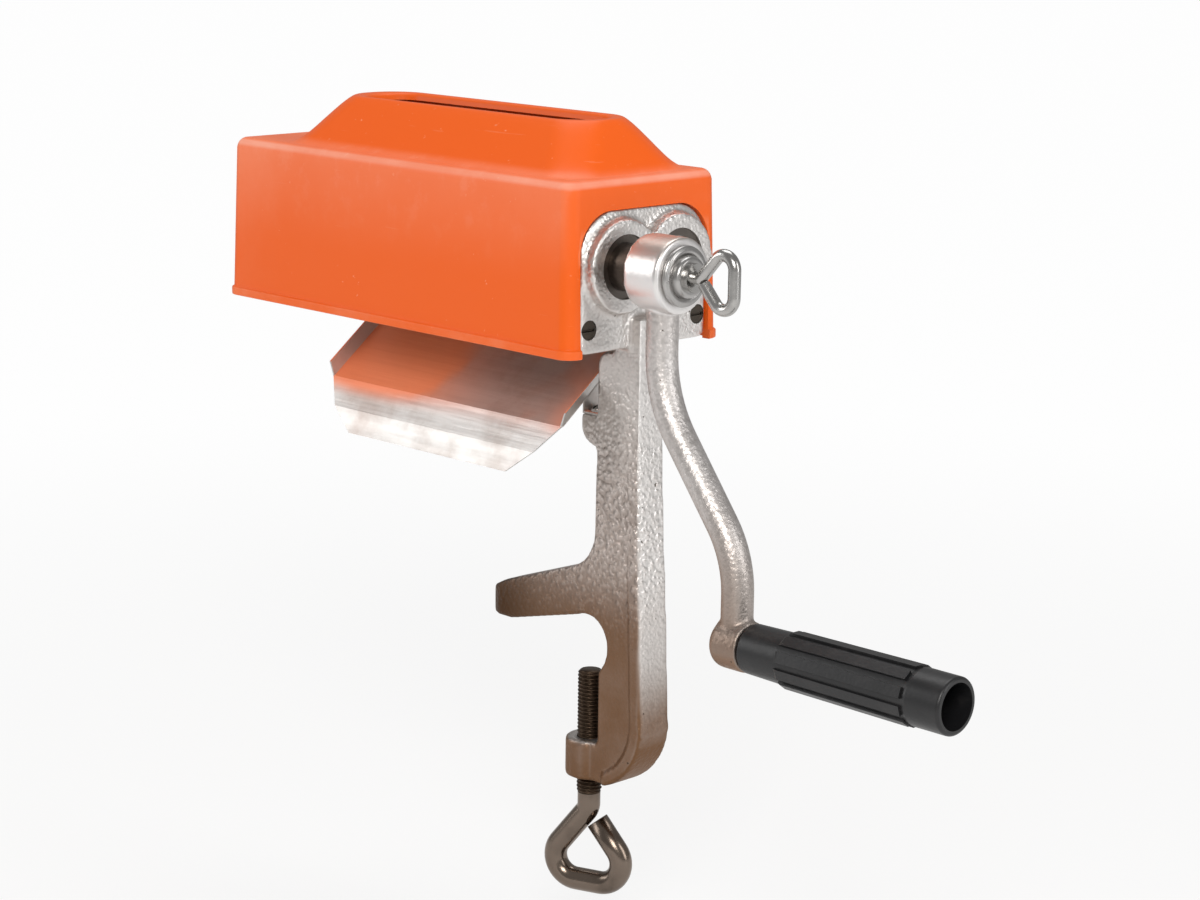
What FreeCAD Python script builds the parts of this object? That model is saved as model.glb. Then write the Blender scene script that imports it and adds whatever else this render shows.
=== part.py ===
import FreeCAD, Part
import math
import os
from FreeCAD import Placement, Rotation, Vector

# A hand cranked meat tenderizer that clamps to a table edge.
# Frame: +Z is up and +X points along the rollers towards the crank. The origin is the centre of
# the flat pad under the tip of the upper clamp arm, which rests on the table top, so z = 0 is
# the table top. The rollers lie side by side across Y, and y = 0 is the plane of the column.

DOCUMENT_NAME = "crank_meat_tenderizer"
doc = FreeCAD.newDocument(DOCUMENT_NAME)
sheet = doc.addObject("Spreadsheet::Sheet", "sizes")

DRIVING_SIZES = [
    # rollers and where they lie
    ("axle_height", 149.0, "height of both roller axles over the table top"),
    ("axle_spacing", 28.0, "distance between the two axles, also the gears' pitch diameter"),
    ("blade_margin_near", 16.0, "gap from the crank-side plate to the first blade's middle"),
    ("blade_margin_far", 8.0, "gap from the far plate to the last front blade's middle"),
    ("blade_radius", 16.5, "tip radius of a blade disc"),
    ("blade_root_radius", 13.0, "radius at the bottom of the notches"),
    ("blade_teeth", 16, "teeth round one blade disc"),
    ("blade_thickness", 1.5, "thickness of a blade disc"),
    ("front_blade_count", 14, "blades on the front roller, the rear one has one less"),
    ("spacer_radius", 10.0, "outer radius of the rings between the blades"),
    ("hex_flats", 14.0, "width across flats of the shafts' six-sided part"),
    ("hex_clearance", 0.1, "gap from the shaft's flats to what slides on them"),
    ("hex_end_margin", 2.0, "gap from the six-sided part to each end plate"),
    # bearings
    ("journal_radius", 8.95, "crank-side journal of each shaft"),
    ("bush_wall", 3.0, "wall of a crank-side bush"),
    ("running_clearance", 0.05, "radial clearance of every journal, pin and screw"),
    ("far_journal_radius", 6.45, "far journal of each shaft"),
    ("far_bush_wall", 2.5, "wall of a far bush"),
    ("bush_recess", 1.0, "how far a crank-side bush stops short of the boss face"),
    # crank-side plate and far plate
    ("plate_face", 71.5, "x of the crank-side plate's outer face"),
    ("plate_thickness", 7.5, "thickness of both end plates"),
    ("plate_half_width", 33.0, "half width of both end plates"),
    ("plate_above", 20.5, "height of both end plates over the axles"),
    ("plate_below", 31.5, "depth of both end plates below the axles"),
    ("plate_corner", 17.0, "radius of the plates' top corners"),
    ("plate_foot_corner", 3.0, "radius of the plates' bottom corners"),
    ("plates_apart", 154.0, "clear length between the two end plates"),
    ("boss_radius", 17.5, "radius of each round boss on the crank-side plate"),
    ("boss_height", 4.5, "how far the bosses stand out of the plate"),
    ("far_boss_radius", 12.5, "radius of each boss on the far plate"),
    ("far_boss_height", 2.0, "how far the far bosses stand out"),
    # column
    ("web_half", 6.5, "half thickness of the column's web, the arm and the jaw"),
    ("post_inner", 53.5, "x of the web's inner face"),
    ("post_crest_below", 3.0, "top of the web below the plate's bottom edge"),
    ("flange_thickness", 5.5, "thickness of the column's outer flange"),
    ("flange_half_top", 6.8, "half width of the flange below the bosses"),
    ("flange_half_foot", 8.5, "half width of the flange at the jaw"),
    ("flange_lean", 4.5, "how much further out the flange stands at its foot"),
    ("flange_straight", 68.0, "length of the flange below the axles that is upright"),
    # clamp
    ("heel_rise", 30.0, "height over the jaw's bottom where the flange turns under"),
    ("pad_length", 14.0, "length of the flat pad under the arm's tip"),
    ("nose_height", 11.0, "height of the arm at its tip"),
    ("arm_rise", 9.2, "height of the arm's underside at the column"),
    ("arm_top", 28.0, "height of the arm's top at the column"),
    ("throat_wall", 56.0, "x of the throat's back wall"),
    ("throat_relief", 4.2, "depth of the hollow at the top of the throat"),
    ("relief_height", 20.0, "height of that hollow"),
    ("jaw_top", -40.0, "top of the lower jaw"),
    ("jaw_bottom", -56.0, "bottom of the lower jaw"),
    ("jaw_boss_radius", 9.5, "radius of the jaw's end round the screw"),
    ("jaw_neck", 6.0, "how far the jaw's web reaches in past the screw's middle"),
    ("screw_place", 46.0, "x of the clamp screw"),
    # lug that holds the tray
    ("lug_below", 60.5, "depth of the small lug's top face below the axles"),
    ("lug_height", 11.5, "height of the lug"),
    ("lug_reach", 9.5, "how far the lug stands out of the web"),
    ("lug_half", 5.5, "half width of the lug"),
    # tie rods and their screws
    ("rod_below", 22.5, "depth of the tie rods below the axles"),
    ("rod_radius", 4.5, "radius of a tie rod"),
    ("rod_screw_radius", 2.0, "shank radius of a tie rod screw"),
    ("rod_screw_head", 3.5, "head radius of a tie rod screw"),
    ("rod_screw_depth", 11.0, "how deep a screw goes into its rod"),
    ("rod_screw_height", 3.2, "height of a screw's head"),
    ("rod_seat_depth", 3.5, "depth of the seat that hides the head"),
    ("rod_seat_gap", 0.25, "gap round the head in its seat"),
    ("rod_slot", 1.2, "width and depth of the slot in the head"),
    # combs
    ("comb_half", 6.5, "half width of a comb's square bar"),
    ("finger_thickness", 4.0, "thickness of a comb finger"),
    ("finger_gap", 1.2, "gap from a finger to the spacers"),
    # gears
    ("gear_teeth", 14, "teeth of each gear"),
    ("gear_width", 11.0, "face width of each gear"),
    ("gear_addendum", 1.6, "height of a tooth above the pitch circle"),
    ("gear_dedendum", 2.1, "depth of a tooth below the pitch circle"),
    ("gear_backlash", 0.3, "how much thinner a tooth is than its gap"),
    ("gear_gap", 1.0, "gap from a gear to the far boss"),
    ("key_width", 4.0, "width and height of a gear key"),
    ("clip_thickness", 1.0, "thickness of a retaining clip"),
    ("clip_groove_radius", 5.6, "radius of the shaft in the clip's groove"),
    # cover
    ("cover_past", 39.5, "how far the cover reaches past the far plate's inner face"),
    ("cover_beside", 8.0, "how far the cover's lip stands out beside the end plates"),
    ("cover_end", 73.5, "x of the cover's crank end"),
    ("cover_skirt", 1.0, "how far the cover hangs below the end plates"),
    ("cover_above", 32.0, "height of the cover's flat top over the axles"),
    ("cover_wall", 2.8, "wall of the cover"),
    ("cover_draft", 1.5, "how much each side leans in up to the top"),
    ("cover_corner", 6.5, "radius of the cover's upright corners"),
    ("cover_edge", 4.0, "radius of the cover's top edge"),
    ("lip_height", 3.5, "height of the cover's lip"),
    ("lip_proud", 0.9, "how far the lip stands out"),
    ("slot_clearance", 0.7, "side gap from the plate to the cover's end slot"),
    ("hopper_rise", 19.0, "height of the hopper's rim over the flat top"),
    ("hopper_base_over", 44.0, "how much longer the hopper's foot is than the row of blades"),
    ("hopper_base_inset", 4.0, "how far the hopper's foot stays inside the lip on each side"),
    ("hopper_base_corner", 32.0, "corner radius of the hopper's foot"),
    ("hopper_rim_over", 7.0, "how much longer the hopper's rim is than the row of blades"),
    ("hopper_rim_width", 31.0, "width of the hopper at its rim"),
    ("hopper_rim_corner", 15.0, "corner radius of the hopper's rim"),
    ("rib_near", 6.0, "y of the inside ribs' inner faces"),
    ("rib_width", 6.0, "length of the inside ribs along Y"),
    ("rib_sunk", 4.2, "how far the inside ribs reach up past the cover's flat top"),
    ("feed_short", 6.0, "how much shorter the feed slot is than the row of blades"),
    ("feed_width", 23.5, "width of the feed slot"),
    # tray
    ("tray_past", 2.0, "how far the tray reaches past the row of blades at each end"),
    ("tray_sheet", 0.8, "thickness of the tray's sheet"),
    ("tray_slope", 38.0, "slope of the tray's floor in degrees"),
    ("tray_bend_y", -21.4, "y where the floor turns down steeper"),
    ("tray_bend_below", 62.7, "depth of the floor there below the axles"),
    ("tray_crease_y", -27.9, "y of the crease above the front lip"),
    ("tray_crease_drop", 10.3, "drop from the bend to that crease"),
    ("tray_front_y", -30.8, "y of the tray's front edge"),
    ("tray_front_drop", 19.3, "drop from the bend to the front edge"),
    ("tray_crease_cut", 8.7, "how far each end of the crease is cut back"),
    ("tray_front_cut", 20.8, "how far each end of the front edge is cut back"),
    ("tray_wall_height", 5.5, "height of the tray's side walls"),
    ("tray_wall_lean", 2.4, "how far the side walls lean out"),
    ("tray_screw_radius", 2.0, "shank radius of the tray's screw"),
    # crank
    ("hub_radius", 14.0, "radius of the crank's hub"),
    ("hub_length", 16.5, "length of the crank's hub"),
    ("hub_gap", 11.5, "gap from the boss face to the hub"),
    ("square_flats", 12.0, "width of the square end of the front shaft"),
    ("crank_radius", 130.0, "distance from the axle to the handle"),
    ("arm_offset", 40.0, "how far the arm's bend carries the handle out"),
    ("arm_bend_start", 46.0, "drop from the axle to the arm's upper corner"),
    ("arm_bend_drop", 52.0, "drop from the upper corner to the lower one"),
    ("arm_upper_radius", 50.0, "radius of the arm's upper bend"),
    ("arm_lower_radius", 40.0, "radius of the arm's lower bend"),
    ("arm_thick", 11.4, "thickness of the arm along the axle"),
    ("arm_wide", 12.6, "width of the arm across the axle"),
    ("grip_boss_radius", 9.4, "radius of the boss at the arm's end"),
    ("grip_boss_length", 14.5, "length of that boss"),
    ("arm_inset", 7.0, "distance from the hub's inner face to the arm's middle"),
    ("hub_edge", 0.8, "rounding of the hub's outer edge"),
    ("grip_boss_edge", 4.5, "rounding of the back of the boss at the arm's end"),
    # thumb screw and its washer
    ("thumb_radius", 3.95, "shank radius of the thumb screw"),
    ("thumb_depth", 20.0, "how deep the thumb screw goes into the shaft"),
    ("thumb_wire", 2.3, "wire radius of the thumb screw's eye"),
    ("thumb_eye_length", 16.2, "length of that eye's centre line"),
    ("thumb_eye_corner", 5.0, "corner radius of that eye's centre line"),
    ("thumb_eye_half", 9.8, "half height of that eye's centre line"),
    ("thumb_collar_radius", 5.3, "radius of the thumb screw's collar"),
    ("thumb_collar_length", 2.0, "length of that collar"),
    ("thumb_neck", 2.0, "length of the neck from the collar to the eye"),
    ("thumb_neck_corner", 3.0, "radius of the bend from the neck into the eye"),
    ("washer_radius", 11.2, "radius of the cup washer"),
    ("washer_length", 5.0, "height of the cup washer"),
    # handle
    ("grip_length", 92.5, "length of the grip"),
    ("grip_gap", 0.6, "gap from the arm's boss to the grip"),
    ("grip_start_radius", 9.2, "radius of the grip at the crank end"),
    ("grip_end_radius", 10.4, "radius of the grip at the open end"),
    ("grip_rib_height", 0.9, "height of the grip's raised strips"),
    ("grip_rib_count", 10, "raised strips round the grip"),
    ("grip_rib_width", 4.0, "width of a raised strip"),
    ("grip_rib_start", 19.0, "where the strips start along the grip"),
    ("grip_rib_end", 76.0, "where the strips end along the grip"),
    ("grip_wall", 2.0, "wall of the grip at its open end"),
    ("grip_seat", 48.0, "depth along the grip where the pin's head sits"),
    ("pin_radius", 3.95, "radius of the handle's pin"),
    ("pin_head_radius", 6.8, "radius of the pin's head"),
    ("pin_head_length", 3.2, "height of the pin's head"),
    ("pin_slot_width", 1.6, "width of the slot in the pin's head"),
    ("pin_slot_depth", 1.4, "depth of that slot"),
    # clamp screw
    ("screw_radius", 5.0, "outer radius of the clamp screw's thread"),
    ("screw_tip", -13.5, "z of the clamp screw's tip at rest"),
    ("screw_end", -63.0, "z where the thread runs out"),
    ("screw_wire", 4.5, "wire radius of the clamp screw's eye"),
    ("screw_eye_neck", -70.0, "z of the eye's neck"),
    ("screw_eye_bottom", -100.3, "z of the eye's lowest centre line"),
    ("screw_eye_half", 14.2, "half width of the eye's centre line"),
    ("screw_eye_corner", 9.0, "corner radius of the eye's centre line"),
    ("screw_neck_corner", 6.0, "radius of the bend from the rod into the eye"),
    ("screw_tip_edge", 0.8, "rounding of the screw's tip"),
    ("screw_eye_turn", 20.0, "angle of the eye's plane to the rollers, in degrees"),
]
for row, (alias, value, note) in enumerate(DRIVING_SIZES, start=1):
    sheet.set("A%d" % row, alias)
    sheet.set("B%d" % row, str(value))
    sheet.setAlias("B%d" % row, alias)
    sheet.set("C%d" % row, note)
doc.recompute()


def size(alias):
    return float(sheet.get(alias))


# places that hang on other sizes, as cell expressions and as numbers
AXLE = "sizes.axle_height"
ROD_HEIGHT = AXLE + " - sizes.rod_below"
LUG_TOP = AXLE + " - sizes.lug_below"
COVER_BOTTOM = AXLE + " - sizes.plate_below - sizes.cover_skirt"
COVER_TOP = AXLE + " + sizes.cover_above"
HOPPER_TOP = COVER_TOP + " + sizes.hopper_rise"
ROD_OFFSET = "(sizes.plate_half_width - sizes.rod_radius)"
BLADE_ROW = "(sizes.plates_apart - sizes.blade_margin_near - sizes.blade_margin_far)"
BLADE_PITCH = BLADE_ROW + " / (sizes.front_blade_count - 1)"
plate_top = size("axle_height") + size("plate_above")
plate_bottom = size("axle_height") - size("plate_below")
rod_height = size("axle_height") - size("rod_below")
lug_top = size("axle_height") - size("lug_below")
cover_top = size("axle_height") + size("cover_above")
rod_offset = size("plate_half_width") - size("rod_radius")
blade_row = size("plates_apart") - size("blade_margin_near") - size("blade_margin_far")
blade_pitch = blade_row / (size("front_blade_count") - 1)

# places that several pieces share, worked out once
plate_inner = size("plate_face") - size("plate_thickness")
boss_face = size("plate_face") + size("boss_height")
far_inner = plate_inner - size("plates_apart")
roller_middle = plate_inner - size("blade_margin_near") - blade_row / 2
far_face = far_inner - size("plate_thickness")
far_boss_face = far_face - size("far_boss_height")
hub_inner = boss_face + size("hub_gap")
hub_outer = hub_inner + size("hub_length")
half_spacing = size("axle_spacing") / 2
bush_radius = size("journal_radius") + size("running_clearance") + size("bush_wall")
far_bush_radius = size("far_journal_radius") + size("running_clearance") + size("far_bush_wall")
FIT_GAP = size("running_clearance")
nodes = {}


def feature(owner, kind, name):
    return owner.newObject(kind, owner.Name + "_" + name)


def new_body(label):
    made = doc.addObject("PartDesign::Body", label)
    made.Label = label
    nodes[label] = made
    return made


def draw(owner, name, role, edges, offset="0"):
    """Draws edges on one of the body's own planes, moved along its normal by an expression."""
    made = feature(owner, "Sketcher::SketchObject", name)
    found = [item for item in owner.Origin.OriginFeatures if item.Role == role]
    made.AttachmentSupport = [(found[0], "")]
    made.MapMode = "FlatFace"
    made.setExpression("AttachmentOffset.Base.z", offset)
    made.addGeometry(edges, False)
    return made


def pad(owner, name, profile, length, both=False, back=False):
    made = feature(owner, "PartDesign::Pad", name)
    made.Profile = profile
    made.setExpression("Length", length)
    made.Reversed = back
    if both:
        made.SideType = "Symmetric"
    return made


def pocket(owner, name, profile, length, both=False, back=False):
    """Cuts a profile into the body and stops if nothing was cut."""
    doc.recompute()
    before = owner.Shape.Volume
    made = feature(owner, "PartDesign::Pocket", name)
    made.Profile = profile
    made.setExpression("Length", length)
    made.Reversed = back
    if both:
        made.SideType = "Symmetric"
    doc.recompute()
    if owner.Shape.Volume > before - 0.01:
        raise RuntimeError("nothing cut by " + made.Name)
    return made


def revolve(owner, name, profile, axis="H_Axis"):
    made = feature(owner, "PartDesign::Revolution", name)
    made.Profile = profile
    made.ReferenceAxis = (profile, [axis])
    made.Angle = 360
    return made


def loft(owner, name, sections, cut=False):
    kind = "PartDesign::SubtractiveLoft" if cut else "PartDesign::AdditiveLoft"
    made = feature(owner, kind, name)
    made.Profile = sections[0]
    made.Sections = sections[1:]
    made.Ruled = True
    return made


def pipe(owner, name, profile, spine):
    made = feature(owner, "PartDesign::AdditivePipe", name)
    made.Profile = profile
    made.Spine = (spine, [])
    return made


def fillet(owner, name, radius, chosen):
    """Rounds the edges of the body that the test picks, and stops if it picks none."""
    doc.recompute()
    tip = owner.Tip
    picked = ["Edge%d" % (i + 1) for i, edge in enumerate(tip.Shape.Edges) if chosen(edge)]
    if not picked:
        raise RuntimeError("no edge found for " + name)
    made = feature(owner, "PartDesign::Fillet", name)
    made.Base = (tip, picked)
    made.setExpression("Radius", radius)
    return made


def on_axle(made, side):
    """Puts a body that is drawn about its own X axis on the front (-1) or rear (+1) axle."""
    made.setExpression("Placement.Base.y", "sizes.axle_spacing * %g" % (side * 0.5))
    made.setExpression("Placement.Base.z", "sizes.axle_height")


# edge helpers: every outline is drawn from plain points, lines, arcs and circles
def flat(point):
    return Vector(point[0], point[1], 0)


def circle(centre, radius):
    return Part.Circle(flat(centre), Vector(0, 0, 1), radius)


def outline(start, steps):
    """Closed outline: a step is an end point, or a mid point and an end point of an arc."""
    edges = []
    at = start
    for step in list(steps) + [start]:
        if isinstance(step[0], tuple):
            edges.append(Part.Arc(flat(at), flat(step[0]), flat(step[1])))
            at = step[1]
        elif flat(step).distanceToPoint(flat(at)) > 1e-6:
            edges.append(Part.LineSegment(flat(at), flat(step)))
            at = step
    return edges


def rounded_box(low, high, radius):
    """Rectangle with round corners, drawn anticlockwise from its lower left."""
    x0, y0 = low
    x1, y1 = high
    cut = radius * (1 - math.sqrt(0.5))
    return outline((x0 + radius, y0), [
        (x1 - radius, y0), ((x1 - cut, y0 + cut), (x1, y0 + radius)),
        (x1, y1 - radius), ((x1 - cut, y1 - cut), (x1 - radius, y1)),
        (x0 + radius, y1), ((x0 + cut, y1 - cut), (x0, y1 - radius)),
        (x0, y0 + radius), ((x0 + cut, y0 + cut), (x0 + radius, y0)),
    ])


def polygon(count, flats_width, turn=0.0):
    """Regular polygon about the origin by its width across flats."""
    radius = flats_width / 2 / math.cos(math.pi / count)
    corners = []
    for i in range(count):
        angle = turn + 2 * math.pi * (i + 0.5) / count
        corners.append((radius * math.cos(angle), radius * math.sin(angle)))
    return outline(corners[0], corners[1:])


def rounded_path(points, radii):
    """Open path of straight runs with a tangent arc at each inner point."""
    edges = []
    at = flat(points[0])
    for i, radius in enumerate(radii, start=1):
        corner = flat(points[i])
        into = (corner - flat(points[i - 1])).normalize()
        out = (flat(points[i + 1]) - corner).normalize()
        turn = into.getAngle(out)
        reach = radius * math.tan(turn / 2)
        first = corner - into * reach
        last = corner + out * reach
        inward = (out - into).normalize()
        middle = corner + inward * (radius / math.cos(turn / 2) - radius)
        edges.append(Part.LineSegment(at, first))
        edges.append(Part.Arc(first, middle, last))
        at = last
    edges.append(Part.LineSegment(at, flat(points[-1])))
    return edges


def plate_outline():
    """Both end plates: large round top corners and small bottom ones."""
    half = size("plate_half_width")
    top = plate_top
    bottom = plate_bottom
    big = size("plate_corner")
    small = size("plate_foot_corner")
    big_cut = big * (1 - math.sqrt(0.5))
    small_cut = small * (1 - math.sqrt(0.5))
    return outline((-half + small, bottom), [
        (half - small, bottom), ((half - small_cut, bottom + small_cut), (half, bottom + small)),
        (half, top - big), ((half - big_cut, top - big_cut), (half - big, top)),
        (-half + big, top), ((-half + big_cut, top - big_cut), (-half, top - big)),
        (-half, bottom + small),
        ((-half + small_cut, bottom + small_cut), (-half + small, bottom)),
    ])


def make_support_casting():
    """Crank-side plate, bosses, column and C clamp, cast in one piece."""
    cast = new_body("support_casting")
    face = draw(cast, "plate_sketch", "YZ_Plane", plate_outline(),
                "sizes.plate_face - sizes.plate_thickness")
    pad(cast, "plate", face, "sizes.plate_thickness")
    for side, word in ((-1, "front"), (1, "rear")):
        ring = draw(cast, word + "_boss_sketch", "YZ_Plane",
                    [circle((side * half_spacing, size("axle_height")), size("boss_radius"))],
                    "sizes.plate_face - 1")
        pad(cast, word + "_boss", ring, "sizes.boss_height + 1")
    outer = size("plate_face") + size("boss_height")
    foot = outer + size("flange_lean")
    wall = size("throat_wall")
    jaw_low = size("jaw_bottom")
    inner = size("post_inner")
    pad_half = size("pad_length") / 2
    nose = size("nose_height")
    rise = size("arm_rise")
    relief = wall + size("throat_relief")
    crest = plate_bottom - size("post_crest_below")
    arm_top = size("arm_top")
    jaw_inner = size("screw_place") - size("jaw_neck")
    relief_foot = rise - size("relief_height")
    heel_top = jaw_low + size("heel_rise")
    heel_middle = (foot - 5, jaw_low + 11)
    heel_end = (foot + 0.5, heel_top - 4)
    side_view = outline((pad_half, 0), [
        (wall - 12, rise),
        ((wall + 0.5, rise - 1.6), (relief, rise - 9)),
        ((relief - 1.2, relief_foot + 4), (wall, relief_foot)),
        (wall, size("jaw_top")),
        (jaw_inner, size("jaw_top")),
        (jaw_inner, jaw_low),
        (wall + 4, jaw_low),
        (heel_middle, heel_end),
        (outer, size("axle_height") - size("flange_straight")),
        (outer - size("flange_thickness"), crest + 3),
        (inner + 10, crest + 3),
        (inner + 8, crest),
        ((inner + 2, crest - 1.6), (inner, crest - 7)),
        (inner - 0.5, arm_top + 17),
        ((inner - 4.2, arm_top + 6), (inner - 13, arm_top)),
        (pad_half - 4, nose + 4),
        (-pad_half + 5, nose + 1.5),
        ((-pad_half + 0.6, nose - 1.2), (-pad_half - 1, nose - 5)),
        (-pad_half - 1, 3),
        ((-pad_half - 0.4, 0.9), (-pad_half + 1.5, 0)),
    ])
    web = draw(cast, "side_sketch", "XZ_Plane", side_view)
    pad(cast, "web_and_clamp", web, "sizes.web_half * 2", both=True)
    # the outer flange widens and leans out towards the jaw
    sections = []
    for i, (low, half, shift) in enumerate((
            (size("axle_height") - 20, size("flange_half_top"), 0.0),
            (size("axle_height") - size("flange_straight"), size("flange_half_top"), 0.0),
            (heel_top, size("flange_half_foot"), size("flange_lean")))):
        x1 = outer + shift
        x0 = x1 - size("flange_thickness")
        sections.append(draw(cast, "flange_sketch_%d" % i, "XY_Plane",
                             outline((x0, -half), [(x1, -half), (x1, half), (x0, half)]),
                             "%r" % low))
    loft(cast, "flange", sections)
    heel_view = outline((foot, heel_top), [
        (foot - size("flange_thickness"), heel_top),
        ((foot - 8.5, heel_top - 14), (foot - 17, jaw_low + 7)),
        (wall + 4, jaw_low + 5),
        (wall + 4, jaw_low),
        (heel_middle, heel_end),
    ])
    heel = draw(cast, "heel_sketch", "XZ_Plane", heel_view)
    pad(cast, "heel", heel, "sizes.flange_half_foot * 2", both=True)
    jaw = draw(cast, "jaw_boss_sketch", "XY_Plane",
               [circle((size("screw_place"), 0), size("jaw_boss_radius"))], "sizes.jaw_bottom")
    pad(cast, "jaw_boss", jaw, "sizes.jaw_top - sizes.jaw_bottom")
    lug_low = lug_top - size("lug_height")
    lug_view = outline((inner + 1, lug_top), [
        (inner - size("lug_reach"), lug_top),
        (inner - size("lug_reach"), lug_low + 6),
        ((inner - size("lug_reach") + 2.6, lug_low + 1.6), (inner + 1, lug_low)),
    ])
    lug = draw(cast, "lug_sketch", "XZ_Plane", lug_view)
    pad(cast, "lug", lug, "sizes.lug_half * 2", both=True)
    # the arm's tip is round in plan, like half an oval
    for side, word in ((-1, "front"), (1, "rear")):
        half = size("web_half")
        tip = -pad_half - 1
        corner = outline((tip - 1, 0), [
            (tip - 1, side * (half + 1)),
            (pad_half, side * (half + 1)),
            (pad_half, side * half),
            ((tip + 4.4, side * half * 0.72), (tip, 0)),
        ])
        shape = draw(cast, word + "_nose_sketch", "XY_Plane", corner)
        pocket(cast, word + "_nose", shape, "sizes.arm_top * 2", both=True)
    for side, word in ((-1, "front"), (1, "rear")):
        bore = draw(cast, word + "_bore_sketch", "YZ_Plane",
                    [circle((side * half_spacing, size("axle_height")), bush_radius + FIT_GAP)],
                    "sizes.plate_face + sizes.boss_height + 1")
        pocket(cast, word + "_bore", bore, "sizes.plate_thickness + sizes.boss_height + 2")
        hole = draw(cast, word + "_rod_hole_sketch", "YZ_Plane",
                    [circle((side * rod_offset, rod_height),
                            size("rod_screw_radius") + FIT_GAP)], "sizes.plate_face")
        pocket(cast, word + "_rod_hole", hole, "sizes.plate_thickness + 1")
        seat = draw(cast, word + "_rod_seat_sketch", "YZ_Plane",
                    [circle((side * rod_offset, rod_height),
                            size("rod_screw_head") + size("rod_seat_gap"))], "sizes.plate_face")
        pocket(cast, word + "_rod_seat", seat, "sizes.rod_seat_depth")
    thread = draw(cast, "clamp_hole_sketch", "XY_Plane",
                  [circle((size("screw_place"), 0), size("screw_radius") + FIT_GAP)],
                  "sizes.jaw_top + 1")
    pocket(cast, "clamp_hole", thread, "sizes.jaw_top - sizes.jaw_bottom + 2")
    screw_hole = draw(cast, "lug_hole_sketch", "XY_Plane",
                      [circle((inner - size("lug_reach") / 2, 0),
                              size("tray_screw_radius") + FIT_GAP)], LUG_TOP)
    pocket(cast, "lug_hole", screw_hole, "sizes.lug_height - 3")
    return cast


def make_far_plate():
    """End plate at the gear end, with two low bosses on its outer face."""
    plate = new_body("far_plate")
    face = draw(plate, "plate_sketch", "YZ_Plane", plate_outline(), "%r" % far_face)
    pad(plate, "plate", face, "sizes.plate_thickness")
    for side, word in ((-1, "front"), (1, "rear")):
        ring = draw(plate, word + "_boss_sketch", "YZ_Plane",
                    [circle((side * half_spacing, size("axle_height")), size("far_boss_radius"))],
                    "%r" % far_boss_face)
        pad(plate, word + "_boss", ring, "sizes.far_boss_height + 1")
    for side, word in ((-1, "front"), (1, "rear")):
        bore = draw(plate, word + "_bore_sketch", "YZ_Plane",
                    [circle((side * half_spacing, size("axle_height")),
                            far_bush_radius + FIT_GAP)], "%r" % (far_inner + 1))
        pocket(plate, word + "_bore", bore, "sizes.plate_thickness + sizes.far_boss_height + 2")
        hole = draw(plate, word + "_rod_hole_sketch", "YZ_Plane",
                    [circle((side * rod_offset, rod_height),
                            size("rod_screw_radius") + FIT_GAP)], "%r" % (far_inner + 1))
        pocket(plate, word + "_rod_hole", hole, "sizes.plate_thickness + 2")
        seat = draw(plate, word + "_rod_seat_sketch", "YZ_Plane",
                    [circle((side * rod_offset, rod_height),
                            size("rod_screw_head") + size("rod_seat_gap"))], "%r" % far_face)
        pocket(plate, word + "_rod_seat", seat, "sizes.rod_seat_depth", back=True)
    return plate


def make_bush(label, side, start, length, inner, outer):
    """Plain bush drawn about its own axis, then set on its axle."""
    bush = new_body(label)
    ring = draw(bush, "ring_sketch", "YZ_Plane",
                [circle((0, 0), outer), circle((0, 0), inner)], "%r" % start)
    pad(bush, "ring", ring, "%r" % length)
    on_axle(bush, side)
    return bush


def shaft_step(shaft, name, edges, start, end):
    step = draw(shaft, name + "_sketch", "YZ_Plane", edges, "%r" % start)
    pad(shaft, name, step, "%r" % (end - start))


gear_inner = far_boss_face - size("gear_gap")
gear_outer = gear_inner - size("gear_width")
clip_inner = gear_outer - 0.5
shaft_end = clip_inner - size("clip_thickness") - 3.0
hex_start = far_inner + size("hex_end_margin")
hex_end = plate_inner - size("hex_end_margin")


def make_shaft(label, side, crank_end):
    """Roller shaft: clip groove, key seat, far journal, six-sided part, crank-side journal."""
    shaft = new_body(label)
    far = size("far_journal_radius")
    shaft_step(shaft, "tail", [circle((0, 0), far)], shaft_end, clip_inner - size("clip_thickness"))
    shaft_step(shaft, "groove", [circle((0, 0), size("clip_groove_radius"))],
               clip_inner - size("clip_thickness"), clip_inner)
    shaft_step(shaft, "far_journal", [circle((0, 0), far)], clip_inner, hex_start)
    shaft_step(shaft, "six_sided", polygon(6, size("hex_flats")), hex_start, hex_end)
    if side < 0:
        shaft_step(shaft, "journal", [circle((0, 0), size("journal_radius"))], hex_end, hub_inner)
        shaft_step(shaft, "square", polygon(4, size("square_flats")), hub_inner, crank_end)
        tap = draw(shaft, "tap_sketch", "YZ_Plane",
                   [circle((0, 0), size("thumb_radius") + FIT_GAP)], "%r" % crank_end)
        pocket(shaft, "tap", tap, "sizes.thumb_depth + 1")
    else:
        shaft_step(shaft, "journal", [circle((0, 0), size("journal_radius"))], hex_end, crank_end)
    key_low = far - size("key_width") / 2
    seat = draw(shaft, "key_seat_sketch", "YZ_Plane",
                outline((-size("key_width") / 2, key_low), [
                    (size("key_width") / 2, key_low), (size("key_width") / 2, far + 1),
                    (-size("key_width") / 2, far + 1)]), "%r" % gear_outer)
    pocket(shaft, "key_seat", seat, "sizes.gear_width", back=True)
    on_axle(shaft, side)
    return shaft


def make_group(label, shapes):
    """Several equal pieces that share one node, each a solid of its own."""
    made = doc.addObject("Part::Feature", label)
    made.Label = label
    made.Shape = Part.makeCompound(shapes)
    made.Placement = Placement()
    nodes[label] = made
    return made


def pattern_body(name, edges, length):
    """One piece drawn at the origin, from which a group's copies are taken."""
    made = doc.addObject("PartDesign::Body", name)
    face = draw(made, "sketch", "YZ_Plane", edges)
    pad(made, "pad", face, length)
    doc.recompute()
    return made


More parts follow.
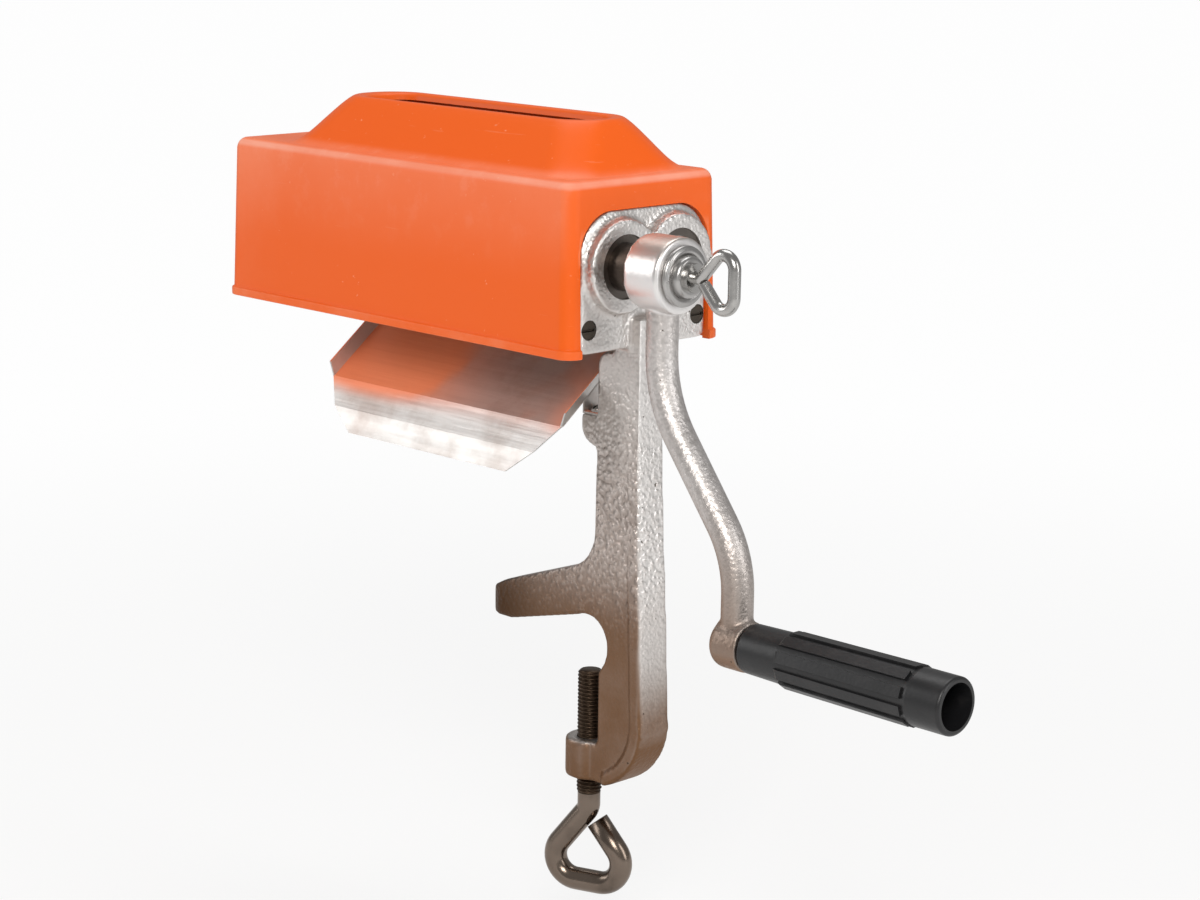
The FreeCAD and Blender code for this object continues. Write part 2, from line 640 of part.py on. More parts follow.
def blade_outline():
    """Disc with square-ended teeth between open notches."""
    count = int(size("blade_teeth"))
    root = size("blade_root_radius")
    tip = size("blade_radius")
    step = 2 * math.pi / count
    corners = []
    for i in range(count):
        for share, radius in ((-0.30, root), (-0.17, tip), (0.17, tip), (0.30, root)):
            angle = (i + share) * step
            corners.append((radius * math.cos(angle), radius * math.sin(angle)))
    return outline(corners[0], corners[1:])


def blade_places(side):
    """x of each blade's middle; the rear roller's blades lie between the front ones."""
    count = int(size("front_blade_count")) - (1 if side > 0 else 0)
    first = roller_middle - blade_pitch * (count - 1) / 2
    return [first + blade_pitch * i for i in range(count)]


def placed(shape, x, side):
    copy = shape.copy()
    copy.Placement = Placement(Vector(x, side * half_spacing, size("axle_height")), Rotation())
    return copy


def make_blades_and_spacers():
    hex_hole = size("hex_flats") + 2 * size("hex_clearance")
    half = size("blade_thickness") / 2
    blade = pattern_body("blade_pattern", blade_outline() + polygon(6, hex_hole),
                         "sizes.blade_thickness")
    ring_edges = [circle((0, 0), size("spacer_radius"))] + polygon(6, hex_hole)
    ring = pattern_body("spacer_pattern", ring_edges, BLADE_PITCH + " - sizes.blade_thickness")
    for side, word in ((-1, "front"), (1, "rear")):
        places = blade_places(side)
        make_group(word + "_blades", [placed(blade.Shape, x - half, side) for x in places])
        rings = [placed(ring.Shape, x + half, side) for x in places[:-1]]
        for end, start, stop in (("far", hex_start, places[0] - half),
                                 ("near", places[-1] + half, hex_end)):
            last = pattern_body(word + "_" + end + "_spacer_pattern", ring_edges,
                                "%r" % (stop - start))
            rings.append(placed(last.Shape, start, side))
        make_group(word + "_spacers", rings)


def involute_point(base, radius, offset, mirror):
    """Point of an involute flank at a radius, turned to its side of the tooth."""
    swing = math.sqrt(max((radius / base) ** 2 - 1, 0.0))
    angle = offset - (swing - math.atan(swing))
    return (radius * math.cos(angle), mirror * radius * math.sin(angle))


def gear_outline():
    """Spur gear with involute flanks; one tooth is centred on +Y."""
    count = int(size("gear_teeth"))
    pitch = size("axle_spacing") / 2
    pressure = math.radians(20)
    base = pitch * math.cos(pressure)
    tip = pitch + size("gear_addendum")
    root = pitch - size("gear_dedendum")
    half_tooth = math.pi / (2 * count) - size("gear_backlash") / 4 / pitch
    offset = half_tooth + math.tan(pressure) - pressure
    flank = [base + (tip - base) * share for share in (0.0, 0.3, 0.55, 0.8, 1.0)]
    left = [involute_point(base, radius, offset, -1) for radius in flank]
    right = [involute_point(base, radius, offset, 1) for radius in reversed(flank)]
    foot = root / base
    tooth = [(left[0][0] * foot, left[0][1] * foot)] + left
    tooth += right + [(right[-1][0] * foot, right[-1][1] * foot)]
    corners = []
    for i in range(count):
        angle = 2 * math.pi * i / count
        for x, y in tooth:
            corners.append((x * math.cos(angle) - y * math.sin(angle),
                            x * math.sin(angle) + y * math.cos(angle)))
    return outline(corners[0], corners[1:])


def make_gear(word, side, turn):
    """Gear, its key and the clip that keeps it on the shaft."""
    gear = new_body(word + "_gear")
    face = draw(gear, "teeth_sketch", "YZ_Plane", gear_outline(), "%r" % gear_outer)
    pad(gear, "teeth", face, "sizes.gear_width")
    bore = draw(gear, "bore_sketch", "YZ_Plane",
                [circle((0, 0), size("far_journal_radius") + FIT_GAP)], "%r" % gear_outer)
    pocket(gear, "bore", bore, "sizes.gear_width", back=True)
    half = size("key_width") / 2
    far = size("far_journal_radius")
    # the key way is cut where the turned gear meets the key on top of the shaft
    way = []
    for y, z in ((-half, 0.0), (half, 0.0), (half, far + half + 0.2), (-half, far + half + 0.2)):
        way.append((y * math.cos(turn) + z * math.sin(turn),
                    -y * math.sin(turn) + z * math.cos(turn)))
    slot = draw(gear, "key_way_sketch", "YZ_Plane", outline(way[0], way[1:]), "%r" % gear_outer)
    pocket(gear, "key_way", slot, "sizes.gear_width", back=True)
    on_axle(gear, side)
    gear.setExpression("Placement.Rotation.Axis.x", "1")
    gear.setExpression("Placement.Rotation.Axis.y", "0")
    gear.setExpression("Placement.Rotation.Axis.z", "0")
    gear.setExpression("Placement.Rotation.Angle", "%r" % math.degrees(turn))
    key = new_body(word + "_gear_key")
    block = draw(key, "block_sketch", "YZ_Plane",
                 outline((-half, far - half), [(half, far - half), (half, far + half),
                                               (-half, far + half)]),
                 "%r" % (gear_outer + 0.5))
    pad(key, "block", block, "sizes.gear_width - 1")
    on_axle(key, side)
    clip = new_body(word + "_gear_clip")
    inner = size("clip_groove_radius") + FIT_GAP
    outer = size("far_journal_radius") + 2.2
    gap = math.radians(35)
    c_shape = outline((inner * math.cos(gap), inner * math.sin(gap)), [
        (outer * math.cos(gap), outer * math.sin(gap)),
        ((-outer, 0.0), (outer * math.cos(gap), -outer * math.sin(gap))),
        (inner * math.cos(gap), -inner * math.sin(gap)),
        ((-inner, 0.0), (inner * math.cos(gap), inner * math.sin(gap))),
    ])
    ring = draw(clip, "ring_sketch", "YZ_Plane", c_shape,
                "%r" % (clip_inner - size("clip_thickness")))
    pad(clip, "ring", ring, "sizes.clip_thickness")
    on_axle(clip, side)


def make_tie_rods():
    for side, word in ((-1, "front"), (1, "rear")):
        rod = new_body(word + "_tie_rod")
        bar = draw(rod, "bar_sketch", "YZ_Plane", [circle((0, 0), size("rod_radius"))],
                   "%r" % far_inner)
        pad(rod, "bar", bar, "sizes.plates_apart")
        tap = [circle((0, 0), size("rod_screw_radius") + FIT_GAP)]
        far_tap = draw(rod, "far_tap_sketch", "YZ_Plane", tap, "%r" % far_inner)
        pocket(rod, "far_tap", far_tap, "sizes.rod_screw_depth + 1", back=True)
        near_tap = draw(rod, "near_tap_sketch", "YZ_Plane", tap, "%r" % plate_inner)
        pocket(rod, "near_tap", near_tap, "sizes.rod_screw_depth + 1")
        rod.setExpression("Placement.Base.y", ROD_OFFSET + " * %g" % side)
        rod.setExpression("Placement.Base.z", ROD_HEIGHT)


def make_tie_rod_screws():
    """Four equal cheese-head screws, sunk in the end plates' seats."""
    seat_depth = size("rod_seat_depth")
    head = size("rod_screw_height")
    slit = size("rod_slot")
    reach = size("plate_thickness") - seat_depth + size("rod_screw_depth")
    screw = Part.makeCylinder(size("rod_screw_head"), head, Vector(0, 0, 0), Vector(1, 0, 0))
    shank = Part.makeCylinder(size("rod_screw_radius"), reach, Vector(-reach, 0, 0), Vector(1, 0, 0))
    across = 2.5 * size("rod_screw_head")
    slot = Part.makeBox(slit, across, slit, Vector(head - slit, -across / 2, -slit / 2))
    screw = screw.fuse(shank).cut(slot).removeSplitter()
    shapes = []
    for side in (-1, 1):
        for x, turn in ((size("plate_face") - seat_depth, 0), (far_face + seat_depth, 180)):
            copy = screw.copy()
            copy.Placement = Placement(Vector(x, side * rod_offset, rod_height),
                                       Rotation(Vector(0, 0, 1), turn))
            shapes.append(copy)
    make_group("tie_rod_screws", shapes)


def make_comb(word, side):
    """Square bar on a tie rod, with a finger reaching up between each pair of blades."""
    comb = new_body(word + "_comb")
    half = size("comb_half")
    bar = draw(comb, "bar_sketch", "YZ_Plane",
               rounded_box((-half, -half), (half, half), 1.0)
               + [circle((0, 0), size("rod_radius") + FIT_GAP)], "%r" % (far_inner + 1))
    pad(comb, "bar", bar, "sizes.plates_apart - 2")
    # the finger is drawn for the front comb and mirrored for the rear one
    axle_y = rod_offset - half_spacing
    axle_z = size("axle_height") - rod_height
    near = size("spacer_radius") + size("finger_gap")

    def round_point(angle, radius):
        return (-side * (axle_y + radius * math.cos(math.radians(angle))),
                axle_z + radius * math.sin(math.radians(angle)))

    finger = outline(round_point(205, near), [
        (round_point(255, near), round_point(305, near)),
        round_point(305, near + 3.2),
        (-side * (half - 1), half - 1.4),
        (side * (half - 1), half - 1.4),
        (side * (half - 1.5), half + 3),
    ])
    places = blade_places(-side)
    inner_places = [x for x in places if blade_places(side)[0] < x < blade_places(side)[-1]]
    first = draw(comb, "finger_sketch", "YZ_Plane", finger,
                 "%r" % (inner_places[0] - size("finger_thickness") / 2))
    tooth = pad(comb, "finger", first, "sizes.finger_thickness")
    row = feature(comb, "PartDesign::LinearPattern", "fingers")
    row.Originals = [tooth]
    row.Direction = ([item for item in comb.Origin.OriginFeatures if item.Role == "X_Axis"][0], [""])
    row.setExpression("Length", BLADE_PITCH + " * %d" % (len(inner_places) - 1))
    row.Occurrences = len(inner_places)
    comb.Tip = row
    comb.setExpression("Placement.Base.y", ROD_OFFSET + " * %g" % side)
    comb.setExpression("Placement.Base.z", ROD_HEIGHT)


# how far in (0 foot, 1 rim) and how far up (0 to 1) the hopper's skin is at each level
HOPPER_FLARE = [(0.09, 0.03), (0.22, 0.12), (0.36, 0.27), (0.54, 0.48), (0.72, 0.70),
                (0.86, 0.88), (0.94, 0.97), (1.0, 1.0)]


def make_hopper_cover():
    """Moulded cover over both rollers, with the feed hopper on top and one open end."""
    cover = new_body("hopper_cover")
    x1 = size("cover_end")
    x0 = far_inner - size("cover_past")
    half = size("plate_half_width") + size("cover_beside")
    bottom = plate_bottom - size("cover_skirt")
    wall = size("cover_wall")
    corner = size("cover_corner")

    def level(inset, radius):
        return rounded_box((x0 + inset, -half + inset), (x1 - inset, half - inset), radius)

    def hopper(length, width, radius):
        middle = roller_middle
        return rounded_box((middle - length / 2, -width / 2), (middle + length / 2, width / 2),
                           radius)

    def flared(share):
        """Outline of the hopper between its foot, at 0, and its rim, at 1."""
        def between(first, last):
            return first + (last - first) * share
        return hopper(
            between(blade_row + size("hopper_base_over"), blade_row + size("hopper_rim_over")),
            between(2 * (half - size("hopper_base_inset")), size("hopper_rim_width")),
            between(size("hopper_base_corner"), size("hopper_rim_corner")))

    lip = draw(cover, "lip_sketch", "XY_Plane", level(0, corner), COVER_BOTTOM)
    pad(cover, "lip", lip, "sizes.lip_height")
    low = draw(cover, "foot_sketch", "XY_Plane",
               level(size("lip_proud"), corner - size("lip_proud")),
               COVER_BOTTOM + " + sizes.lip_height / 2")
    high = draw(cover, "top_sketch", "XY_Plane",
                level(size("lip_proud") + size("cover_draft"), corner - size("lip_proud")),
                COVER_TOP)
    loft(cover, "sides", [low, high])
    fillet(cover, "top_edge", "sizes.cover_edge",
           lambda edge: abs(edge.BoundBox.ZMin - cover_top) < 0.01
           and abs(edge.BoundBox.ZMax - cover_top) < 0.01)
    levels = [draw(cover, "hopper_foot_sketch", "XY_Plane", flared(0.0), COVER_TOP + " - 0.5")]
    for i, (share, rise) in enumerate(HOPPER_FLARE):
        levels.append(draw(cover, "hopper_sketch_%d" % i, "XY_Plane", flared(share),
                           COVER_TOP + " + sizes.hopper_rise * %g" % rise))
    loft(cover, "hopper", levels)
    inset = size("lip_proud") + wall
    low_in = draw(cover, "inner_foot_sketch", "XY_Plane",
                  level(inset, corner - inset + 2), COVER_BOTTOM + " - 1")
    high_in = draw(cover, "inner_top_sketch", "XY_Plane",
                   level(inset + size("cover_draft"), corner - inset + 2),
                   COVER_TOP + " - sizes.cover_wall")
    loft(cover, "inside", [low_in, high_in], cut=True)
    hollow = []
    for i, (share, rise) in enumerate(HOPPER_FLARE):
        hollow.append(draw(cover, "feed_sketch_%d" % i, "XY_Plane", flared(share),
                           COVER_TOP + " + sizes.hopper_rise * %g - sizes.cover_wall * 1.5" % rise))
    for i, (wider, lower) in enumerate(((2.0, 2.4), (0.0, 1.0), (0.0, -0.5))):
        hollow.append(draw(cover, "slot_sketch_%d" % i, "XY_Plane",
                           hopper(blade_row - size("feed_short") + wider,
                                  size("feed_width") + wider,
                                  (size("feed_width") + wider) / 2 - 0.5),
                           HOPPER_TOP + " - %g" % lower))
    loft(cover, "feed_hollow", hollow, cut=True)
    # the crank-side wall is open round the bearing plate, down to the lip
    slot_half = size("plate_half_width") + size("slot_clearance")
    top = plate_top
    arc = size("plate_corner") - 1
    cut = arc * (1 - math.sqrt(0.5))
    opening = outline((-slot_half, bottom - 1), [
        (slot_half, bottom - 1), (slot_half, top - arc),
        ((slot_half - cut, top - cut), (slot_half - arc, top)),
        (-slot_half + arc, top), ((-slot_half + cut, top - cut), (-slot_half, top - arc)),
    ])
    end_slot = draw(cover, "end_slot_sketch", "YZ_Plane", opening, "sizes.cover_end + 1")
    pocket(cover, "end_slot", end_slot, "sizes.cover_wall + sizes.cover_draft + 4")
    # two short ribs inside the top rest on the far plate
    for side, word in ((-1, "front"), (1, "rear")):
        near = side * size("rib_near")
        away = side * (size("rib_near") + size("rib_width"))
        rib_top = cover_top + size("rib_sunk")
        rib = draw(cover, word + "_rib_sketch", "YZ_Plane",
                   outline((near, top), [(away, top), (away, rib_top), (near, rib_top)]),
                   "%r" % (far_face + 1.5))
        pad(cover, word + "_rib", rib, "sizes.plate_thickness - 3")
    return cover


def make_tray():
    """Bent sheet chute below the rollers, its sides turned up and its front corners cut."""
    tray = new_body("discharge_tray")
    sheet_gap = size("tray_sheet")
    slope = math.tan(math.radians(size("tray_slope")))
    bend = (size("tray_bend_y"), size("axle_height") - size("tray_bend_below"))
    crease = (size("tray_crease_y"), bend[1] - size("tray_crease_drop"))
    front = (size("tray_front_y"), bend[1] - size("tray_front_drop"))
    back_top = rod_height - size("comb_half")
    back_y = bend[0] + (back_top - sheet_gap - bend[1]) / slope
    back_end = rod_offset + size("comb_half") - 3
    middle = roller_middle
    length = blade_row / 2 + size("tray_past")
    # the sheet's thickness is laid off to the back and below
    drop = sheet_gap / math.cos(math.radians(size("tray_slope")))
    floor = outline(front, [
        crease, bend, (back_y, back_top - sheet_gap), (back_y + drop, back_top),
        (back_end, back_top), (back_end, back_top - sheet_gap),
        (back_y + drop + 0.6, back_top - sheet_gap),
        (bend[0] + sheet_gap * 0.75, bend[1] - drop * 0.65),
        (crease[0] + sheet_gap * 0.95, crease[1] - sheet_gap * 0.4),
        (front[0] + sheet_gap, front[1]),
    ])
    side_sketch = draw(tray, "floor_sketch", "YZ_Plane", floor, "%r" % (middle - length))
    pad(tray, "floor", side_sketch, "%r" % (2 * length))
    for side, word in ((-1, "far"), (1, "crank")):
        edge = middle + side * length
        cut_view = outline((edge + side, bend[1]), [
            (edge + side, front[1] - 3),
            (edge - side * size("tray_front_cut"), front[1] - 3),
            (edge - side * size("tray_front_cut"), front[1]),
            (edge - side * size("tray_crease_cut"), crease[1]),
            (edge, bend[1]),
        ])
        corner = draw(tray, word + "_corner_sketch", "XZ_Plane", cut_view,
                      "%r" % -(bend[0] + 3))
        pocket(tray, word + "_corner", corner, "20", back=True)
        sections = []
        for i, y in enumerate((bend[0], back_y)):
            z = bend[1] + (y - bend[0]) * slope
            out = edge + side * size("tray_wall_lean")
            high = z + size("tray_wall_height")
            sections.append(draw(tray, "%s_wall_sketch_%d" % (word, i), "XZ_Plane", outline(
                (edge - side * sheet_gap, z - drop / 2), [
                    (edge, z - drop / 2), (out, high), (out - side * sheet_gap, high)]),
                "%r" % -y))
        loft(tray, word + "_wall", sections)
    # the bracket stands on the lug and meets the underside of the floor
    foot = lug_top
    leg_x = size("post_inner") - size("lug_reach") + 0.2
    half = size("lug_half") - 1

    def under(y):
        return bend[1] + (y - bend[0]) * slope - drop / 2

    leg = draw(tray, "leg_sketch", "YZ_Plane",
               outline((-half, foot), [(half, foot), (half, under(half)), (-half, under(-half))]),
               "%r" % leg_x)
    pad(tray, "leg", leg, "sizes.tray_sheet")
    tab = draw(tray, "tab_sketch", "XY_Plane",
               outline((leg_x, -half), [(size("post_inner") - 0.5, -half),
                                        (size("post_inner") - 0.5, half), (leg_x, half)]),
               LUG_TOP)
    pad(tray, "tab", tab, "sizes.tray_sheet")
    hole = draw(tray, "tab_hole_sketch", "XY_Plane",
                [circle((size("post_inner") - size("lug_reach") / 2, 0),
                        size("tray_screw_radius") + 0.2)], LUG_TOP + " + sizes.tray_sheet")
    pocket(tray, "tab_hole", hole, "sizes.tray_sheet")


def make_tray_screw():
    screw = new_body("tray_screw")
    radius = size("tray_screw_radius")
    head = 1.8 * radius
    top = size("tray_sheet")
    profile = outline((0, -7.0), [(radius, -7.0), (radius, top), (head, top),
                                  ((head - 0.5, top + 1.5), (head - 1.8, top + 2.2)),
                                  (0, top + 2.2)])
    turned = draw(screw, "profile_sketch", "XZ_Plane", profile)
    revolve(screw, "turned", turned, "V_Axis")
    slot = draw(screw, "slot_sketch", "XZ_Plane",
                outline((-0.5, top + 1.2), [(0.5, top + 1.2), (0.5, top + 3), (-0.5, top + 3)]))
    pocket(screw, "slot", slot, "%r" % (4 * head), both=True)
    screw.setExpression("Placement.Base.x", "sizes.post_inner - sizes.lug_reach / 2")
    screw.setExpression("Placement.Base.z", LUG_TOP)


arm_line = hub_inner + size("arm_inset")


def make_crank_arm():
    """Cast crank: hub with a square hole, bent arm and a boss for the handle's pin."""
    crank = new_body("crank_arm")
    hub = draw(crank, "hub_sketch", "YZ_Plane", [circle((0, 0), size("hub_radius"))],
               "%r" % hub_inner)
    pad(crank, "hub", hub, "sizes.hub_length")
    fillet(crank, "hub_edge", "sizes.hub_edge",
           lambda edge: abs(edge.BoundBox.XMin - hub_outer) < 0.01)
    end_x = arm_line + size("arm_offset")
    path = rounded_path([
        (arm_line, -size("hub_radius") + 4),
        (arm_line, -size("arm_bend_start")),
        (end_x, -size("arm_bend_start") - size("arm_bend_drop")),
        (end_x, -size("crank_radius")),
    ], [size("arm_upper_radius"), size("arm_lower_radius")])
    spine = draw(crank, "arm_path", "XZ_Plane", path)
    oval = draw(crank, "arm_sketch", "XY_Plane",
                [Part.Ellipse(Vector(arm_line, size("arm_wide") / 2, 0),
                              Vector(arm_line + size("arm_thick") / 2, 0, 0),
                              Vector(arm_line, 0, 0))], "4 - sizes.hub_radius")
    pipe(crank, "arm", oval, spine)
    boss_x = end_x - size("grip_boss_length") / 2
    knob = draw(crank, "grip_boss_sketch", "YZ_Plane",
                [circle((0, -size("crank_radius")), size("grip_boss_radius"))], "%r" % boss_x)
    pad(crank, "grip_boss", knob, "sizes.grip_boss_length")
    fillet(crank, "grip_boss_back", "sizes.grip_boss_edge",
           lambda edge: abs(edge.BoundBox.XMin - boss_x) < 0.01
           and abs(edge.BoundBox.XMax - boss_x) < 0.01)
    square = draw(crank, "square_sketch", "YZ_Plane",
                  polygon(4, size("square_flats") + 2 * size("hex_clearance")), "%r" % hub_outer)
    pocket(crank, "square", square, "sizes.hub_length")
    hole = draw(crank, "pin_hole_sketch", "YZ_Plane",
                [circle((0, -size("crank_radius")), size("pin_radius") + FIT_GAP)],
                "%r" % (boss_x + size("grip_boss_length")))
    pocket(crank, "pin_hole", hole, "sizes.grip_boss_length - 2")
    on_axle(crank, -1)


def make_thumb_washer():
    """Pressed cup washer with a rolled outer ring and a raised step."""
    washer = new_body("thumb_washer")
    bore = size("thumb_radius") + 0.15
    outer = size("washer_radius")
    high = size("washer_length")
    profile = outline((hub_outer, bore), [
        (hub_outer, outer - 0.8),
        ((hub_outer + 1.2, outer), (hub_outer + 2.2, outer - 1.0)),
        ((hub_outer + 2.4, outer - 2.4), (hub_outer + 1.9, outer - 3.2)),
        (hub_outer + high - 1.2, outer - 3.6),
        ((hub_outer + high - 0.3, outer - 4.2), (hub_outer + high, outer - 5.2)),
        (hub_outer + high, bore),
    ])
    turned = draw(washer, "profile_sketch", "XZ_Plane", profile)
    revolve(washer, "turned", turned)
    on_axle(washer, -1)


def eye_leg_angle(reach, half, radius):
    """Angle of an eye's legs, so that its corner arc just reaches the half width."""
    low, high = math.radians(20), math.radians(80)
    for _ in range(40):
        middle = (low + high) / 2
        if (reach - radius) * math.tan(middle) - radius / math.cos(middle) < half - radius:
            low = middle
        else:
            high = middle
    return low


def eye_route(start, neck, far, half, corner_radius, wire):
    """Points of a wire along a line, round a three-sided eye and back to the neck's side."""
    reach = far - neck
    slant = eye_leg_angle(reach, half, corner_radius)
    corner = reach * math.tan(slant)
    back = (wire + 0.3 + wire * math.cos(2 * slant)) / math.sin(2 * slant)
    return [(start, 0), (neck, 0), (far, corner), (far, -corner),
            (neck + back * math.cos(slant), -back * math.sin(slant))]


def make_thumb_screw():
    """Screw bent from one wire, its outer end closed to an eye for the fingers."""
    screw = new_body("thumb_screw")
    start = hub_outer + size("washer_length")
    shank = draw(screw, "shank_sketch", "YZ_Plane", [circle((0, 0), size("thumb_radius"))],
                 "%r" % (hub_outer - 1 - size("thumb_depth")))
    pad(screw, "shank", shank, "%r" % (start - hub_outer + 1 + size("thumb_depth")))
    collar = draw(screw, "collar_sketch", "YZ_Plane", [circle((0, 0), size("thumb_collar_radius"))],
                  "%r" % start)
    pad(screw, "collar", collar, "sizes.thumb_collar_length")
    neck = start + size("thumb_collar_length") + size("thumb_neck")
    path = rounded_path(
        eye_route(start + 0.5, neck, neck + size("thumb_eye_length"), size("thumb_eye_half"),
                  size("thumb_eye_corner"), size("thumb_wire")),
        [size("thumb_neck_corner"), size("thumb_eye_corner"), size("thumb_eye_corner")])
    spine = draw(screw, "eye_path", "XZ_Plane", path)
    wire = draw(screw, "wire_sketch", "YZ_Plane", [circle((0, 0), size("thumb_wire"))],
                "%r" % (start + 0.5))
    pipe(screw, "eye", wire, spine)
    on_axle(screw, -1)


def handle_place(made):
    made.setExpression("Placement.Base.y", "-sizes.axle_spacing / 2")
    made.setExpression("Placement.Base.z", "sizes.axle_height - sizes.crank_radius")


grip_start = arm_line + size("arm_offset") + size("grip_boss_length") / 2 + size("grip_gap")


def make_handle():
    """Hollow plastic grip that turns on a headed pin, with a washer under the head."""
    grip = new_body("handle_grip")
    end = grip_start + size("grip_length")
    seat = grip_start + size("grip_seat")
    bore = size("pin_radius") + FIT_GAP
    first = size("grip_start_radius")
    last = size("grip_end_radius")
    hollow = last - size("grip_wall")
    ribs = grip_start + size("grip_rib_start")
    ribs_end = grip_start + size("grip_rib_end")
    profile = outline((grip_start, bore), [
        (grip_start, first - 1.0),
        ((grip_start + 0.35, first - 0.3), (grip_start + 1.2, first)),
        (ribs, first + 0.4),
        (ribs_end, last - 0.4),
        (ribs_end + 2.0, last),
        (end - 1.2, last),
        ((end - 0.35, last - 0.35), (end, last - 1.0)),
        (end, hollow), (seat, hollow), (seat, bore),
    ])
    turned = draw(grip, "profile_sketch", "XZ_Plane", profile)
    revolve(grip, "turned", turned)
    rib = draw(grip, "rib_sketch", "XZ_Plane", outline((ribs, hollow + 0.4), [
        (ribs_end, hollow + 0.4), (ribs_end, last - 0.4 + size("grip_rib_height")),
        (ribs + 1.0, first + 0.4 + size("grip_rib_height")), (ribs, first + 0.9)]))
    strip = pad(grip, "rib", rib, "sizes.grip_rib_width", both=True)
    ring = feature(grip, "PartDesign::PolarPattern", "ribs")
    ring.Originals = [strip]
    ring.Axis = ([item for item in grip.Origin.OriginFeatures if item.Role == "X_Axis"][0], [""])
    ring.Angle = 360
    ring.Occurrences = int(size("grip_rib_count"))
    grip.Tip = ring
    handle_place(grip)

    washer = new_body("handle_washer")
    disc = draw(washer, "ring_sketch", "YZ_Plane",
                [circle((0, 0), hollow - 0.4), circle((0, 0), bore)], "%r" % (seat + 0.1))
    pad(washer, "ring", disc, "1")
    handle_place(washer)

    pin = new_body("handle_pin")
    head_start = seat + 1.1
    pin_start = grip_start - size("grip_gap") - size("grip_boss_length") + 2.5
    shank = draw(pin, "shank_sketch", "YZ_Plane", [circle((0, 0), size("pin_radius"))],
                 "%r" % pin_start)
    pad(pin, "shank", shank, "%r" % (head_start - pin_start))
    head = draw(pin, "head_sketch", "YZ_Plane", [circle((0, 0), size("pin_head_radius"))],
                "%r" % head_start)
    pad(pin, "head", head, "sizes.pin_head_length")
    long_half = size("pin_head_radius") + 1
    slit_half = size("pin_slot_width") / 2
    slot = draw(pin, "slot_sketch", "YZ_Plane",
                outline((-long_half, -slit_half), [(long_half, -slit_half),
                                                   (long_half, slit_half),
                                                   (-long_half, slit_half)]),
                "%r" % (head_start + size("pin_head_length")))
    pocket(pin, "slot", slot, "sizes.pin_slot_depth")
    handle_place(pin)


def make_clamp_screw():
    """Threaded rod whose lower end is bent to a large eye for turning it."""
    screw = new_body("clamp_screw")
    rod = draw(screw, "rod_sketch", "XY_Plane", [circle((0, 0), size("screw_radius"))],
               "sizes.screw_end")
    pad(screw, "rod", rod, "sizes.screw_tip - sizes.screw_end")
    fillet(screw, "tip_edge", "sizes.screw_tip_edge",
           lambda edge: abs(edge.BoundBox.ZMin - size("screw_tip")) < 0.01)
    route = eye_route(-size("screw_end") - 1, -size("screw_eye_neck"),
                      -size("screw_eye_bottom"), size("screw_eye_half"),
                      size("screw_eye_corner"), size("screw_wire"))
    path = rounded_path([(-across, -along) for along, across in route],
                        [size("screw_neck_corner"), size("screw_eye_corner"),
                         size("screw_eye_corner")])
    spine = draw(screw, "eye_path", "XZ_Plane", path)
    wire = draw(screw, "wire_sketch", "XY_Plane", [circle((0, 0), size("screw_wire"))],
                "sizes.screw_end + 1")
    pipe(screw, "eye", wire, spine)
    screw.setExpression("Placement.Base.x", "sizes.screw_place")
    screw.setExpression("Placement.Rotation.Axis.x", "0")
    screw.setExpression("Placement.Rotation.Axis.y", "0")
    screw.setExpression("Placement.Rotation.Axis.z", "1")
    screw.setExpression("Placement.Rotation.Angle", "sizes.screw_eye_turn")


make_support_casting()
make_far_plate()
near_length = size("plate_thickness") + size("boss_height") - size("bush_recess")
far_length = size("plate_thickness") + size("far_boss_height")
for axle_side, axle_word in ((-1, "front"), (1, "rear")):
    make_bush(axle_word + "_crank_bush", axle_side, plate_inner, near_length,
              size("journal_radius") + FIT_GAP, bush_radius)
    make_bush(axle_word + "_far_bush", axle_side, far_boss_face, far_length,
              size("far_journal_radius") + FIT_GAP, far_bush_radius)
make_shaft("front_shaft", -1, hub_outer - 1.0)
make_shaft("rear_shaft", 1, boss_face - size("bush_recess") - 1.0)
make_blades_and_spacers()
half_tooth_turn = math.pi / size("gear_teeth")
make_gear("front", -1, 0.0)
make_gear("rear", 1, half_tooth_turn)
make_tie_rods()
make_tie_rod_screws()
make_comb("front", -1)
make_comb("rear", 1)
make_hopper_cover()
make_tray()
make_tray_screw()
make_crank_arm()
make_thumb_washer()
make_thumb_screw()
make_handle()
make_clamp_screw()
doc.recompute()

for item in doc.Objects:
    if "Invalid" in item.State or "Error" in item.State:
        raise RuntimeError("failed object " + item.Name)
os.makedirs("parts", exist_ok=True)
for label, item in nodes.items():
    if item.Shape.isNull() or not item.Shape.isValid():
        raise RuntimeError("bad shape " + label)
for label, item in nodes.items():
    item.Shape.exportStep("parts/" + label + ".step")
    print(label, "solids", len(item.Shape.Solids), "volume", round(item.Shape.Volume, 1))
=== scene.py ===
import math

import bmesh
import bpy
from mathutils import Matrix, Vector


